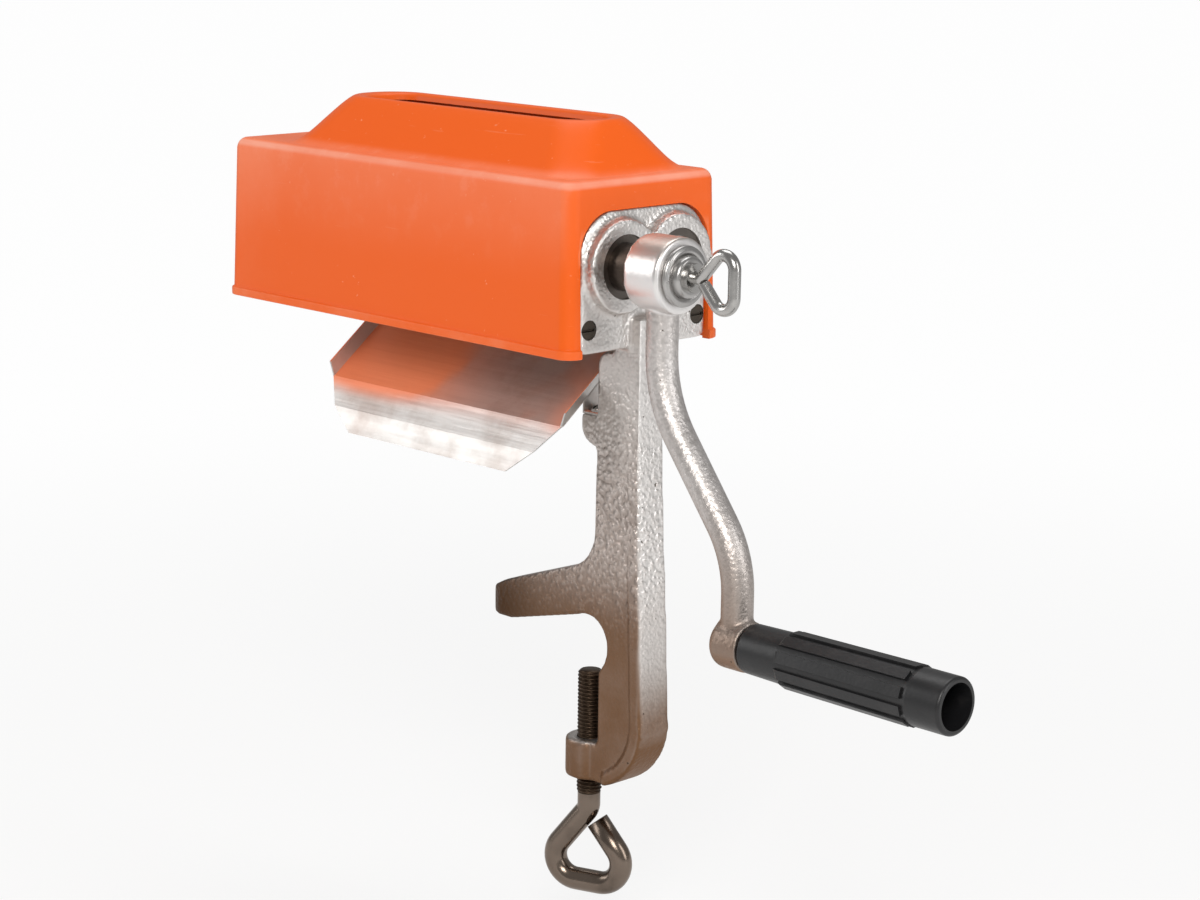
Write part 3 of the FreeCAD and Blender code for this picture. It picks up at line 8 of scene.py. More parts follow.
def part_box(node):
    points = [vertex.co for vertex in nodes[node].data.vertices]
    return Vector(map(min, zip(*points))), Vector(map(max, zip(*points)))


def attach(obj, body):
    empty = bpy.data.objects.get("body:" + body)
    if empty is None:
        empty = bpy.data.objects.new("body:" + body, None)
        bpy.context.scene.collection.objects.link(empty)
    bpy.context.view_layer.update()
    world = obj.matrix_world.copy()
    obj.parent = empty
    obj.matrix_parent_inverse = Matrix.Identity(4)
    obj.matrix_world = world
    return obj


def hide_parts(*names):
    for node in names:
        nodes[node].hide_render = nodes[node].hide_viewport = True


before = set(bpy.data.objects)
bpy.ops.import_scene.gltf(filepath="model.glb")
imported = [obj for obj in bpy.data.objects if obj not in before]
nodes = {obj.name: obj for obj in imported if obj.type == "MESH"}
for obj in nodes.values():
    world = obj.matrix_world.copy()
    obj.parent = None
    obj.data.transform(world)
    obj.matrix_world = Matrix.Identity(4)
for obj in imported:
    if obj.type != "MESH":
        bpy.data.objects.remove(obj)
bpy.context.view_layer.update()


# Camera. The photograph looks down a little on the crank end, from the front right corner of
# the machine, with a long lens about a metre away.
LENS_LENGTH = 83.06
FILM_WIDTH = 36.0
CAMERA_PLACE = (0.7795, -0.7252, 0.3007)
CAMERA_LOOK = (-0.69296, 0.68820, -0.21493)
CAMERA_RIGHT = (0.70235, 0.71169, 0.01439)
camera_data = bpy.data.cameras.new("photo_camera")
camera = bpy.data.objects.new("photo_camera", camera_data)
bpy.context.scene.collection.objects.link(camera)
bpy.context.scene.camera = camera
camera_data.lens = LENS_LENGTH
camera_data.sensor_width = FILM_WIDTH
camera_data.clip_start = 0.05
camera_data.clip_end = 50.0
look = Vector(CAMERA_LOOK).normalized()
right = Vector(CAMERA_RIGHT)
up = right.cross(look).normalized()
right = look.cross(up).normalized()
turned = Matrix((right, up, -look)).transposed()
camera.matrix_world = Matrix.Translation(CAMERA_PLACE) @ turned.to_4x4()


# Studio. A wide white paper floor, low enough for the clamp screw at its lowest, and soft boxes
# round the machine. The paper is near white for the camera and keeps the machine's shadow.
class Value:
    """A shader socket that takes part in sums."""

    def __init__(self, finish, socket):
        self.finish = finish
        self.socket = socket

    def maths(self, operation, *others):
        values = {i: other for i, other in enumerate((self,) + others)}
        return self.finish.node("ShaderNodeMath", {"operation": operation}, values)

    def swapped(self, operation, other):
        return self.finish.node("ShaderNodeMath", {"operation": operation}, {0: other, 1: self})

    def __add__(self, other):
        return self.maths("ADD", other)

    def __sub__(self, other):
        return self.maths("SUBTRACT", other)

    def __mul__(self, other):
        return self.maths("MULTIPLY", other)

    def __rsub__(self, other):
        return self.swapped("SUBTRACT", other)

    __radd__ = __add__
    __rmul__ = __mul__

    def ramp(self, low, high):
        """0 below low, 1 above high, smooth between."""
        settings = {"interpolation_type": "SMOOTHSTEP"}
        return self.finish.node("ShaderNodeMapRange", settings, {0: self, 1: low, 2: high})


class Finish:
    """One material and its surface shader. A colour that is set later replaces the first."""

    def __init__(self, name, colour, metal=0.0, rough=0.5):
        self.material = bpy.data.materials.new(name)
        self.material.use_nodes = True
        self.tree = self.material.node_tree
        self.surface = self.tree.nodes["Principled BSDF"]
        self.surface.inputs["Base Color"].default_value = (*colour, 1.0)
        self.surface.inputs["Metallic"].default_value = metal
        self.surface.inputs["Roughness"].default_value = rough
        self.place = self.node("ShaderNodeTexCoord", {}, {}, "Object")

    def node(self, kind, settings, values, output=0):
        made = self.tree.nodes.new(kind)
        for key, value in settings.items():
            setattr(made, key, value)
        for key, value in values.items():
            if isinstance(value, Value):
                self.tree.links.new(value.socket, made.inputs[key])
            else:
                made.inputs[key].default_value = value
        return Value(self, made.outputs[output])

    def stretched(self, x, y, z):
        return self.node("ShaderNodeMapping", {}, {"Vector": self.place, "Scale": (x, y, z)})

    def noise(self, scale, detail=3.0, place=None, rough=0.5):
        values = {"Vector": place or self.place, "Scale": scale, "Detail": detail,
                  "Roughness": rough}
        return self.node("ShaderNodeTexNoise", {}, values)

    def cells(self, scale):
        """Rounded lumps, 0 in the middle of each."""
        settings = {"feature": "SMOOTH_F1"}
        return self.node("ShaderNodeTexVoronoi", settings, {"Vector": self.place, "Scale": scale})

    def mix(self, share, first, second):
        """Colour first where share is 0, second where it is 1."""
        first = first if isinstance(first, Value) else (*first, 1.0)
        second = second if isinstance(second, Value) else (*second, 1.0)
        values = {0: share, 6: first, 7: second}
        return self.node("ShaderNodeMix", {"data_type": "RGBA"}, values, 2)

    def axis(self, letter):
        return self.node("ShaderNodeSeparateXYZ", {}, {0: self.place}, letter)

    def facing(self, letter):
        normal = self.node("ShaderNodeNewGeometry", {}, {}, "Normal")
        return self.node("ShaderNodeSeparateXYZ", {}, {0: normal}, letter)

    def set(self, socket, value):
        self.tree.links.new(value.socket, self.surface.inputs[socket])

    def bump(self, height, distance, strength=1.0):
        values = {"Height": height, "Distance": distance, "Strength": strength}
        self.set("Normal", self.node("ShaderNodeBump", {}, values))


def give(finish, *names):
    """Puts one finish on all of a piece's material slots."""
    for name in names:
        piece = nodes.get(name) or bpy.data.objects[name]
        if not piece.material_slots:
            piece.data.materials.append(finish.material)
        for place in piece.material_slots:
            place.material = finish.material


FLOOR_HEIGHT = -0.1325
FLOOR_SIZE = 30.0
NEAR_GLOW = 0.72
FAR_GLOW = 0.26
GLOW_SPREAD = (0.12, 1.1)
MIRRORED_GLOW = 0.2
ROOM_LIGHT = 0.34
bpy.ops.object.select_all(action="DESELECT")
bpy.ops.mesh.primitive_plane_add(size=FLOOR_SIZE, location=(0, 0, FLOOR_HEIGHT))
floor = bpy.context.active_object
floor.name = "floor"
paper = Finish("floor_paper", (0.92, 0.92, 0.92), rough=0.9)
paper.surface.inputs["Specular IOR Level"].default_value = 0.0
seen = paper.node("ShaderNodeLightPath", {}, {}, "Is Camera Ray")
mirrored = paper.node("ShaderNodeLightPath", {}, {}, "Is Glossy Ray")
glow = paper.node("ShaderNodeEmission", {}, {"Color": (1, 1, 1, 1), "Strength": 1.0})
reach = paper.node("ShaderNodeVectorMath", {"operation": "LENGTH"}, {0: paper.place}, 1)
whitened = NEAR_GLOW + reach.ramp(*GLOW_SPREAD) * FAR_GLOW
glowing = seen * whitened + mirrored * MIRRORED_GLOW
lit = Value(paper, paper.surface.outputs[0])
blend = paper.node("ShaderNodeMixShader", {}, {0: glowing, 1: lit, 2: glow})
paper.tree.links.new(blend.socket, paper.tree.nodes["Material Output"].inputs["Surface"])
floor.data.materials.append(paper.material)

world = bpy.data.worlds.new("studio")
bpy.context.scene.world = world
world.use_nodes = True
world.node_tree.nodes["Background"].inputs["Color"].default_value = (1.0, 0.99, 0.98, 1)
world.node_tree.nodes["Background"].inputs["Strength"].default_value = ROOM_LIGHT
bpy.context.scene.view_settings.view_transform = "Standard"


def soft_box(name, place, aim, width, height, power, colour=(1, 1, 1)):
    lamp_data = bpy.data.lights.new(name, "AREA")
    lamp_data.shape = "RECTANGLE"
    lamp_data.size = width
    lamp_data.size_y = height
    lamp_data.energy = power
    lamp_data.color = colour
    lamp = bpy.data.objects.new(name, lamp_data)
    bpy.context.scene.collection.objects.link(lamp)
    lamp.location = place
    lamp.rotation_mode = "QUATERNION"
    lamp.rotation_quaternion = (Vector(aim) - Vector(place)).to_track_quat("-Z", "Y")


soft_box("key_box", (0.95, -0.95, 0.85), (0, 0, 0.08), 0.6, 0.6, 11.8, (1.0, 0.98, 0.95))
soft_box("side_box", (1.25, 0.35, 0.45), (0, 0, 0.05), 0.4, 0.9, 4.0)
soft_box("top_box", (-0.3, 0.3, 1.3), (0, 0, 0.1), 0.9, 0.7, 5.5)
soft_box("left_box", (-1.0, -0.9, 0.5), (0, 0, 0.1), 0.35, 0.8, 3.6)


# Support casting. Bearing plate, bosses, column and clamp are one sand casting in a light
# alloy. The sand leaves pebbled faces and soft edges, and the bores are machined afterwards.
# spans run along a hole's axis, and a cut is its middle on that axis and its length
CAST_GRAIN = 0.00095
CAST_ROUNDS = 5
AXLE_HEIGHT = 0.149
AXLE_SIDE = 0.014
BUSH_SEAT = 0.01205
CLAMP_SCREW_X = 0.046
CLAMP_HOLE = 0.00505
CLAMP_HOLE_SPAN = (-0.0570, -0.0390)
CLAMP_CUT = (-0.048, 0.024)
BUSH_SEAT_SPAN = (0.063, 0.077)
BUSH_CUT = (0.070, 0.020)
ROD_SIDE = 0.0285
ROD_HEIGHT = 0.1265
ROD_SEAT = 0.00375
ROD_SEAT_SPAN = (0.063, 0.0725)
ROD_SEAT_SHARE = 0.3
ROD_CUT = (0.073, 0.010)


def select_only(piece):
    bpy.ops.object.select_all(action="DESELECT")
    piece.select_set(True)
    bpy.context.view_layer.objects.active = piece


def apply_modifier(piece, kind, **settings):
    modifier = piece.modifiers.new(kind, kind)
    for key, value in settings.items():
        setattr(modifier, key, value)
    select_only(piece)
    bpy.ops.object.modifier_apply(modifier=modifier.name)


def smooth(piece, degrees):
    select_only(piece)
    bpy.ops.object.shade_smooth_by_angle(angle=math.radians(degrees))


def copy_of(node, name):
    """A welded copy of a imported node's mesh, as a start for the finished piece."""
    piece = bpy.data.objects.new(name, nodes[node].data.copy())
    bpy.context.scene.collection.objects.link(piece)
    apply_modifier(piece, "WELD", merge_threshold=0.00001)
    return piece


def soften(piece, grain, rounds):
    """A cast look: even small faces, with every edge rounded off."""
    apply_modifier(piece, "REMESH", mode="VOXEL", voxel_size=grain)
    apply_modifier(piece, "SMOOTH", factor=0.6, iterations=rounds)


def narrow(piece, axis, centre, radius, span, share=0.84):
    """Pulls a hole's wall inwards, so that the tool has metal to cut."""
    first, second = [i for i in range(3) if i != axis]
    for vertex in piece.data.vertices:
        a = vertex.co[first] - centre[first]
        b = vertex.co[second] - centre[second]
        if span[0] < vertex.co[axis] < span[1] and math.hypot(a, b) < radius * 1.02:
            vertex.co[first] = centre[first] + a * share
            vertex.co[second] = centre[second] + b * share


def bore(piece, cuts):
    """Machines round holes: each cut is its axis, middle point, radius and length."""
    bpy.ops.object.select_all(action="DESELECT")
    tools = []
    for axis, middle, radius, length in cuts:
        turn = (0, math.pi / 2, 0) if axis == 0 else (0, 0, 0)
        bpy.ops.mesh.primitive_cylinder_add(vertices=96, radius=radius, depth=length,
                                            location=middle, rotation=turn)
        tools.append(bpy.context.active_object)
    for tool in tools:
        tool.select_set(True)
    bpy.ops.object.join()
    tool = bpy.context.active_object
    bpy.ops.object.transform_apply(location=True, rotation=True, scale=True)
    apply_modifier(piece, "BOOLEAN", operation="DIFFERENCE", object=tool, solver="EXACT")
    bpy.data.objects.remove(tool)


casting = copy_of("support_casting", "cast_support")
cast_cuts = [(2, (CLAMP_SCREW_X, 0, CLAMP_CUT[0]), CLAMP_HOLE, CLAMP_CUT[1])]
narrow(casting, 2, (CLAMP_SCREW_X, 0, 0), CLAMP_HOLE, CLAMP_HOLE_SPAN)
for side in (-1, 1):
    axle = (side * AXLE_SIDE, AXLE_HEIGHT)
    rod = (side * ROD_SIDE, ROD_HEIGHT)
    narrow(casting, 0, (0, *axle), BUSH_SEAT, BUSH_SEAT_SPAN)
    narrow(casting, 0, (0, *rod), ROD_SEAT, ROD_SEAT_SPAN, ROD_SEAT_SHARE)
    cast_cuts.append((0, (BUSH_CUT[0], *axle), BUSH_SEAT, BUSH_CUT[1]))
    cast_cuts.append((0, (ROD_CUT[0], *rod), ROD_SEAT, ROD_CUT[1]))
casting_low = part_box("support_casting")[0].z
soften(casting, CAST_GRAIN, CAST_ROUNDS)
bore(casting, cast_cuts)
for vertex in casting.data.vertices:
    vertex.co.z = max(vertex.co.z, casting_low)
smooth(casting, 50)
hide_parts("support_casting")
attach(casting, "frame")


def cast_alloy(name, bright, dull, pebble_depth):
    """Light cast alloy: pebbled by the sand, with small pits, cloudy patches and a corner shade
    mask.
    """
    made = Finish(name, bright, 1.0, 0.4)
    made.patches = made.noise(30, 4, rough=0.6)
    lumps = made.cells(780)
    grains = made.noise(1500, 2)
    bend = made.node("ShaderNodeNewGeometry", {}, {}, "Pointiness")
    # concave corners, which the finishes darken as painted shade
    made.corners = 1 - bend.ramp(0.43, 0.492)
    made.pits = made.noise(300, 2).ramp(0.73, 0.77)
    made.colour = made.mix(made.patches.ramp(0.35, 0.7), dull, bright)
    hollow = tuple(part * 0.62 for part in dull)
    made.colour = made.mix(lumps.ramp(0.35, 0.8) * 0.45, made.colour, hollow)
    made.height = (1 - lumps) * pebble_depth + grains * 0.25 - made.pits * 0.5
    return made


CAST_BRIGHT = (0.72, 0.69, 0.665)
CAST_DULL = (0.60, 0.565, 0.54)
CAST_WARM_REFLECTION = (0.52, 0.42, 0.37)
CAST_LIT_FACE = (0.85, 0.825, 0.805)
REFLECTED_BROWN = (0.190, 0.090, 0.036)
PEBBLE_TOP_HIGHLIGHT = (0.70, 0.62, 0.57)
PEBBLE_GAP_SHADE = (0.24, 0.18, 0.145)
CORNER_SHADE = (0.16, 0.10, 0.065)
ARM_SHADE_BROWN = (0.125, 0.075, 0.048)
TIP_SHADE_BROWN = (0.070, 0.034, 0.016)
PIT_DIRT = (0.06, 0.04, 0.025)
PEBBLE_DEPTH = 0.9
MIDDLE_BAND = (0.03, 0.125)
LOW_BAND = (0.004, 0.048)
cast_finish = cast_alloy("sand_cast_alloy", CAST_BRIGHT, CAST_DULL, PEBBLE_DEPTH)
height = cast_finish.axis("Z")
sideways = cast_finish.facing("Y") * cast_finish.facing("Y")
outwards = cast_finish.facing("X").ramp(0.3, 0.9)
inwards = (0 - cast_finish.facing("X")).ramp(0.1, 0.8)
under = (0 - cast_finish.facing("Z")).ramp(0.1, 0.7)
middle = 1 - height.ramp(*MIDDLE_BAND)
low = 1 - height.ramp(*LOW_BAND)
coarse = 1 - cast_finish.cells(540)
rough_band = height.ramp(-0.004, 0.026) * (1 - height.ramp(0.055, 0.115))
# painted warm reflection on faces turned sideways, inwards and down, below about z = 0.125
warm = cast_finish.mix(middle * (sideways + inwards + under).ramp(0.1, 1.0) * 0.6,
                       cast_finish.colour, CAST_WARM_REFLECTION)
# painted brown reflection, low down, on faces turned sideways, inwards, down and outwards, with
# cloudy variation
height_share = 0.75 - height.ramp(-0.03, 0.0) * 0.5
reflected_brown = low * (sideways * 0.85 + inwards * 0.95 + under * 0.9 + outwards * height_share)
reflected_brown = (reflected_brown + (cast_finish.patches - 0.5) * low * 0.6).ramp(0.0, 1.0)
# painted light on the outward faces from about z = 0 up
lit_face = outwards * height.ramp(-0.025, 0.02)
warm = cast_finish.mix(lit_face * 0.7, warm, CAST_LIT_FACE)
browned = cast_finish.mix(reflected_brown * 0.95, warm, REFLECTED_BROWN)
# painted highlight on the pebble tops and painted shade in the gaps between them, on the pebbled
# band
browned = cast_finish.mix(coarse.ramp(0.5, 1.0) * rough_band * 0.3, browned, PEBBLE_TOP_HIGHLIGHT)
pebble_gap_shade = (1 - coarse).ramp(0.25, 0.6) * rough_band * sideways
browned = cast_finish.mix(pebble_gap_shade * 0.45, browned, PEBBLE_GAP_SHADE)
# painted shade in the concave corners
browned = cast_finish.mix(cast_finish.corners * 0.75, browned, CORNER_SHADE)
# painted shade and brown reflection on the low clamp arm, darkest toward its end at low x
tip = (1 - cast_finish.axis("X").ramp(-0.004, 0.030)) * low
whole_arm = (1 - cast_finish.axis("X").ramp(0.015, 0.058)) * low
browned = cast_finish.mix(whole_arm * 0.4, browned, ARM_SHADE_BROWN)
browned = cast_finish.mix(tip * 0.9, browned, TIP_SHADE_BROWN)
browned = cast_finish.mix(cast_finish.pits * 0.85, browned, PIT_DIRT)
cast_finish.set("Base Color", browned)
cast_finish.set("Roughness", 0.36 + cast_finish.patches * 0.1 + reflected_brown * 0.1)
pebbles = coarse * rough_band * (1.0 + sideways * 1.8)
cast_finish.bump(cast_finish.height * 0.5 + pebbles, 0.0006, 0.85)
give(cast_finish, "cast_support", "far_plate")


# Bushes and shafts. Sintered bushes are pressed into the machined seats, dark with oil and
# darkened further as painted shade in the bores, and the turned steel shafts run in them. The
# front shaft, which sits in the bore's shade, is painted dark as painted shade.
def worn_metal(name, colour, rough, dulled=0.62, grain=0.3):
    """Worked metal with faint lines from the tool and duller patches."""
    made = Finish(name, colour, 1.0, rough)
    patches = made.noise(60, 4, rough=0.6)
    dull = tuple(part * dulled for part in colour)
    made.set("Base Color", made.mix(patches.ramp(0.42, 0.75) * 0.7, colour, dull))
    made.set("Roughness", rough + patches * 0.16)
    made.bump(made.noise(1100, 2) + patches, 0.0002, grain)
    return made


# the bushes' dark colour is oil and painted shade in the bores
bush_finish = worn_metal("oiled_bush_in_painted_shade", (0.17, 0.15, 0.135), 0.32)
give(bush_finish, "front_crank_bush", "rear_crank_bush", "front_far_bush", "rear_far_bush")
# the front shaft is painted dark as painted shade in its bore
shaft_finish = worn_metal("shaft_in_painted_shade", (0.12, 0.095, 0.08), 0.3)
give(shaft_finish, "front_shaft")
rear_shaft_finish = worn_metal("turned_shaft", (0.48, 0.47, 0.46), 0.28)
give(rear_shaft_finish, "rear_shaft")


# Rollers. Stamped stainless blades with white plastic rings between them on each shaft, and a
# white plastic comb on each tie rod that strips the blades.
blade_finish = worn_metal("stamped_stainless", (0.56, 0.55, 0.54), 0.2)
give(blade_finish, "front_blades", "rear_blades", "front_tie_rod", "rear_tie_rod")
COMB_WHITE = (0.76, 0.75, 0.71)
COMB_STAINED = (0.62, 0.59, 0.53)
comb_finish = Finish("white_plastic", (0.74, 0.73, 0.69), 0.0, 0.5)
comb_cloud = comb_finish.noise(45, 4, rough=0.6)
comb_finish.set("Base Color", comb_finish.mix(
    comb_cloud.ramp(0.4, 0.75) * 0.6, COMB_WHITE, COMB_STAINED))
comb_finish.set("Roughness", 0.42 + comb_cloud * 0.15)
comb_finish.bump(comb_finish.noise(500, 2), 0.0002, 0.25)
give(comb_finish, "front_comb", "rear_comb", "front_spacers", "rear_spacers")


# Gears. Cut steel gears at the far end turn the rollers against each other, each held by a
# key and a sprung clip, and greased dark between the teeth. The tie rods' screws are painted
# dark as painted shade for the recesses they sit in.
gear_finish = worn_metal("greased_gear_steel", (0.36, 0.34, 0.32), 0.28, 0.45)
give(gear_finish, "front_gear", "rear_gear", "front_gear_key", "rear_gear_key",
     "front_gear_clip", "rear_gear_clip")
# painted shade: the screws are darkened for the recesses they sit in
dark_screw_finish = worn_metal("screw_in_painted_shade", (0.10, 0.085, 0.07), 0.34)
give(dark_screw_finish, "tie_rod_screws")


# Hopper cover. Injection moulded orange plastic, open below and round the bearing plate, with
# a flared feed hopper on top. The mould left a lip along the lower edge, and use has scuffed the
# plastic with scratches and specks. A painted sheen lies over the upper walls and the top, and
# painted highlights run along the lip, the top fold and the sharp edges.
# sizes in mm, turned to metres as each level is laid; foot and rim are middle x, half length,
# half width and corner radius
CORNER_STEPS = 14
LONG_STEPS = 30
SHORT_STEPS = 18
COVER_MIDDLE = -28.0
COVER_HALF = (101.5, 41.0)
COVER_FOOT = 116.5
COVER_TOP = 181.0
HOPPER_FOOT = (-18.55, 85.45, 34.4, 15.0)
HOPPER_RIM = (-17.0, 68.5, 15.5, 14.5)
HOPPER_RISE = 19.0
HOPPER_WALL = 0.6
TOP_INSET = 2.4
TOP_BEND = 4.0
TOP_BEND_STEPS = 6
TOP_CORNER = 5.6
TOP_CORNER_LOSS = 3.6
# inner faces: inset, depth below the top and corner of the ceiling, then inset and corner below
CEILING = (5.3, 3.1, 4.0)
INNER_FOOT = (3.8, 4.2)
# opening for the bearing plate, in metres, and the small round left on every cut edge
SLOT_PLACE = (0.0735, 0, 0.1395)
SLOT_SIZE = (0.015, 0.0674, 0.060)
SLOT_CORNER = 0.016
SLOT_TOP_ABOVE = 0.16
EDGE_ROUND = 0.0006
FEED_DROP = 4.1
FLARE = ((0.0, 0.0), (0.035, 0.006), (0.08, 0.028), (0.14, 0.068), (0.21, 0.125), (0.285, 0.20),
         (0.37, 0.30), (0.46, 0.41), (0.55, 0.525), (0.64, 0.635), (0.72, 0.733),
         (0.79, 0.815), (0.85, 0.88), (0.90, 0.93), (0.94, 0.965), (0.972, 0.988), (1.0, 1.0))


def ring_place(index, middle, half_x, half_y, radius):
    """Point of a rounded rectangle, with the same share of steps on every ring."""
    side_steps = (LONG_STEPS, SHORT_STEPS, LONG_STEPS, SHORT_STEPS)
    corners = ((1, -1), (1, 1), (-1, 1), (-1, -1))
    for quarter in range(4):
        cx = corners[quarter][0] * (half_x - radius)
        cy = corners[quarter][1] * (half_y - radius)
        before = corners[quarter - 1]
        start_angle = math.pi / 2 * (quarter - 1)
        if index < side_steps[quarter]:
            share = index / side_steps[quarter]
            x0 = before[0] * (half_x - radius) + radius * math.cos(start_angle)
            y0 = before[1] * (half_y - radius) + radius * math.sin(start_angle)
            x1 = cx + radius * math.cos(start_angle)
            y1 = cy + radius * math.sin(start_angle)
            return middle + x0 + (x1 - x0) * share, y0 + (y1 - y0) * share
        index -= side_steps[quarter]
        if index < CORNER_STEPS:
            angle = start_angle + math.pi / 2 * index / CORNER_STEPS
            return middle + cx + radius * math.cos(angle), cy + radius * math.sin(angle)
        index -= CORNER_STEPS


def wall_level(inset, z, corner=6.5):
    """Outline of the cover's side walls, inset from the lip."""
    return (COVER_MIDDLE, COVER_HALF[0] - inset, COVER_HALF[1] - inset, corner, z)


def flare_level(share, z, inset=0.0):
    """Outline of the hopper between its foot, at 0, and its rim, at 1."""
    middle_x, half_x, half_y, corner = [foot + (rim - foot) * share
                                        for foot, rim in zip(HOPPER_FOOT, HOPPER_RIM)]
    return (middle_x, half_x - inset, half_y - inset, corner - inset * 0.5, z)


# the lip, the drafted walls and the rounded top edge
cover_levels = [wall_level(inset, z, 6.5 - min(inset, 0.9)) for inset, z in (
    (0.5, 116.5), (0.1, 116.7), (0.0, 117.1), (0.0, 119.3), (0.15, 119.7), (0.55, 119.95),
    (0.85, 120.15), (0.95, 120.5), (1.12, 127.5), (1.3, 135.0), (1.46, 142.0), (1.63, 149.0),
    (1.77, 155.0), (1.9, 160.0), (2.02, 165.0), (2.13, 169.8), (2.22, 173.5), (2.3, 177.0))]
for step in range(1, TOP_BEND_STEPS + 1):
    angle = math.pi / 2 * step / TOP_BEND_STEPS
    bend = 1 - math.cos(angle)
    cover_levels.append(wall_level(
        TOP_INSET + TOP_BEND * bend, COVER_TOP - TOP_BEND * (1 - math.sin(angle)),
        TOP_CORNER - TOP_CORNER_LOSS * bend))
# up the hopper, over its rolled rim, and back down inside
for share, rise in FLARE:
    cover_levels.append(flare_level(share, COVER_TOP + HOPPER_RISE * rise))
for inset, drop in ((1.4, 0.0), (2.6, 0.2), (3.3, 0.7), (3.6, 1.4), (4.1, 2.8)):
    cover_levels.append((HOPPER_RIM[0], HOPPER_RIM[1] - inset * 1.5, HOPPER_RIM[2] - inset * 0.9,
                         HOPPER_RIM[3] - inset * 0.9, COVER_TOP + HOPPER_RISE - drop))
for share, rise in reversed(FLARE[2:-1]):
    cover_levels.append(flare_level(share, COVER_TOP + HOPPER_RISE * rise - FEED_DROP,
                                    HOPPER_WALL))
cover_levels.append(wall_level(CEILING[0], COVER_TOP - CEILING[1], CEILING[2]))
cover_levels.append(wall_level(INNER_FOOT[0], COVER_FOOT, INNER_FOOT[1]))

# every level is extruded from the one before and laid on its own rounded outline
ring_count = 2 * (LONG_STEPS + SHORT_STEPS) + 4 * CORNER_STEPS
bpy.ops.object.select_all(action="DESELECT")
bpy.ops.mesh.primitive_circle_add(vertices=ring_count, radius=0.05)
cover = bpy.context.active_object
cover.name = cover.data.name = "moulded_cover"
bpy.ops.object.mode_set(mode="EDIT")
for number, (middle_x, half_x, half_y, radius, z) in enumerate(cover_levels):
    if number:
        bpy.ops.mesh.extrude_edges_move()
    mesh = bmesh.from_edit_mesh(cover.data)
    if not number:
        order = mesh.verts.layers.int.new("order")
        for index, vertex in enumerate(mesh.verts):
            vertex[order] = index
    order = mesh.verts.layers.int["order"]
    for vertex in mesh.verts:
        if vertex.select:
            x, y = ring_place(vertex[order], middle_x, half_x, half_y, radius)
            vertex.co = (x / 1000, y / 1000, z / 1000)
    bmesh.update_edit_mesh(cover.data)
bpy.ops.mesh.select_all(action="DESELECT")
bpy.ops.mesh.select_mode(type="EDGE")
bpy.ops.mesh.select_non_manifold()
bpy.ops.mesh.bridge_edge_loops()
bpy.ops.mesh.select_all(action="SELECT")
bpy.ops.mesh.normals_make_consistent(inside=False)
bpy.ops.object.mode_set(mode="OBJECT")

# the crank end's wall is cut open round the bearing plate
bpy.ops.object.select_all(action="DESELECT")
bpy.ops.mesh.primitive_cube_add(location=SLOT_PLACE)
cutter = bpy.context.active_object
cutter.dimensions = SLOT_SIZE
bpy.ops.object.transform_apply(location=True, rotation=True, scale=True)
bpy.ops.object.mode_set(mode="EDIT")
bpy.ops.mesh.select_mode(type="EDGE")
bpy.ops.mesh.select_all(action="DESELECT")
mesh = bmesh.from_edit_mesh(cutter.data)
for edge in mesh.edges:
    a, b = edge.verts
    edge.select = min(a.co.z, b.co.z) > SLOT_TOP_ABOVE and abs(a.co.x - b.co.x) > 0.01
bmesh.update_edit_mesh(cutter.data)
bpy.ops.mesh.bevel(offset=SLOT_CORNER, segments=12)
bpy.ops.object.mode_set(mode="OBJECT")
apply_modifier(cover, "BOOLEAN", operation="DIFFERENCE", object=cutter, solver="EXACT")
bpy.data.objects.remove(cutter)
apply_modifier(cover, "BEVEL", width=EDGE_ROUND, segments=3, limit_method="ANGLE",
               angle_limit=math.radians(55))
smooth(cover, 40)
apply_modifier(cover, "WEIGHTED_NORMAL", keep_sharp=True)
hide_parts("hopper_cover")
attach(cover, "cover")

ORANGE = (0.86, 0.118, 0.005)
HAZE_AND_SHEEN = (0.93, 0.25, 0.12)
SHEEN_BLOTCH = (0.95, 0.38, 0.24)
SCRATCH_AND_HIGHLIGHT = (0.95, 0.44, 0.26)
FOLD_HIGHLIGHT = (0.97, 0.50, 0.38)
orange_finish = Finish("scuffed_orange_plastic_with_sheen", ORANGE, rough=0.42)
orange_finish.surface.inputs["Specular IOR Level"].default_value = 0.28
cloud = orange_finish.noise(14, 6, rough=0.6).ramp(0.40, 0.72)
height = orange_finish.axis("Z")
upper = height.ramp(0.140, 0.181) * (1 - height.ramp(0.1815, 0.184))
left_end = 1 - orange_finish.axis("X").ramp(-0.131, -0.085)
off_crank_end = 1 - orange_finish.facing("X").ramp(0.3, 0.8) * 0.8
blotch = orange_finish.noise(110, 5, rough=0.62).ramp(0.5, 0.7)
speck = orange_finish.noise(420, 3).ramp(0.69, 0.74) * orange_finish.noise(30, 2).ramp(0.52, 0.64)
long_scratch = orange_finish.noise(75, 2, orange_finish.stretched(0.35, 1, 11)).ramp(0.72, 0.75)
rim = 1 - height.ramp(0.1195, 0.1205)
edge = orange_finish.node("ShaderNodeNewGeometry", {}, {}, "Pointiness").ramp(0.51, 0.60)
# painted sheen on the upper walls and the top, kept off the crank end's face, with cloudy paling
# at the far end
haze_and_sheen = upper * off_crank_end * (0.36 + cloud * 0.26) + left_end * cloud * 0.28
pale = orange_finish.mix(haze_and_sheen, ORANGE, HAZE_AND_SHEEN)
# uneven blotches in the same painted sheen
pale = orange_finish.mix(blotch * upper * off_crank_end * 0.14, pale, SHEEN_BLOTCH)
# real scratches and specks, with painted highlights on the lip band and the sharp convex edges in
# the same pale colour
pale = orange_finish.mix(long_scratch * 0.12 + speck * 0.4 + rim * cloud * 0.3 + edge * 0.22,
                         pale, SCRATCH_AND_HIGHLIGHT)
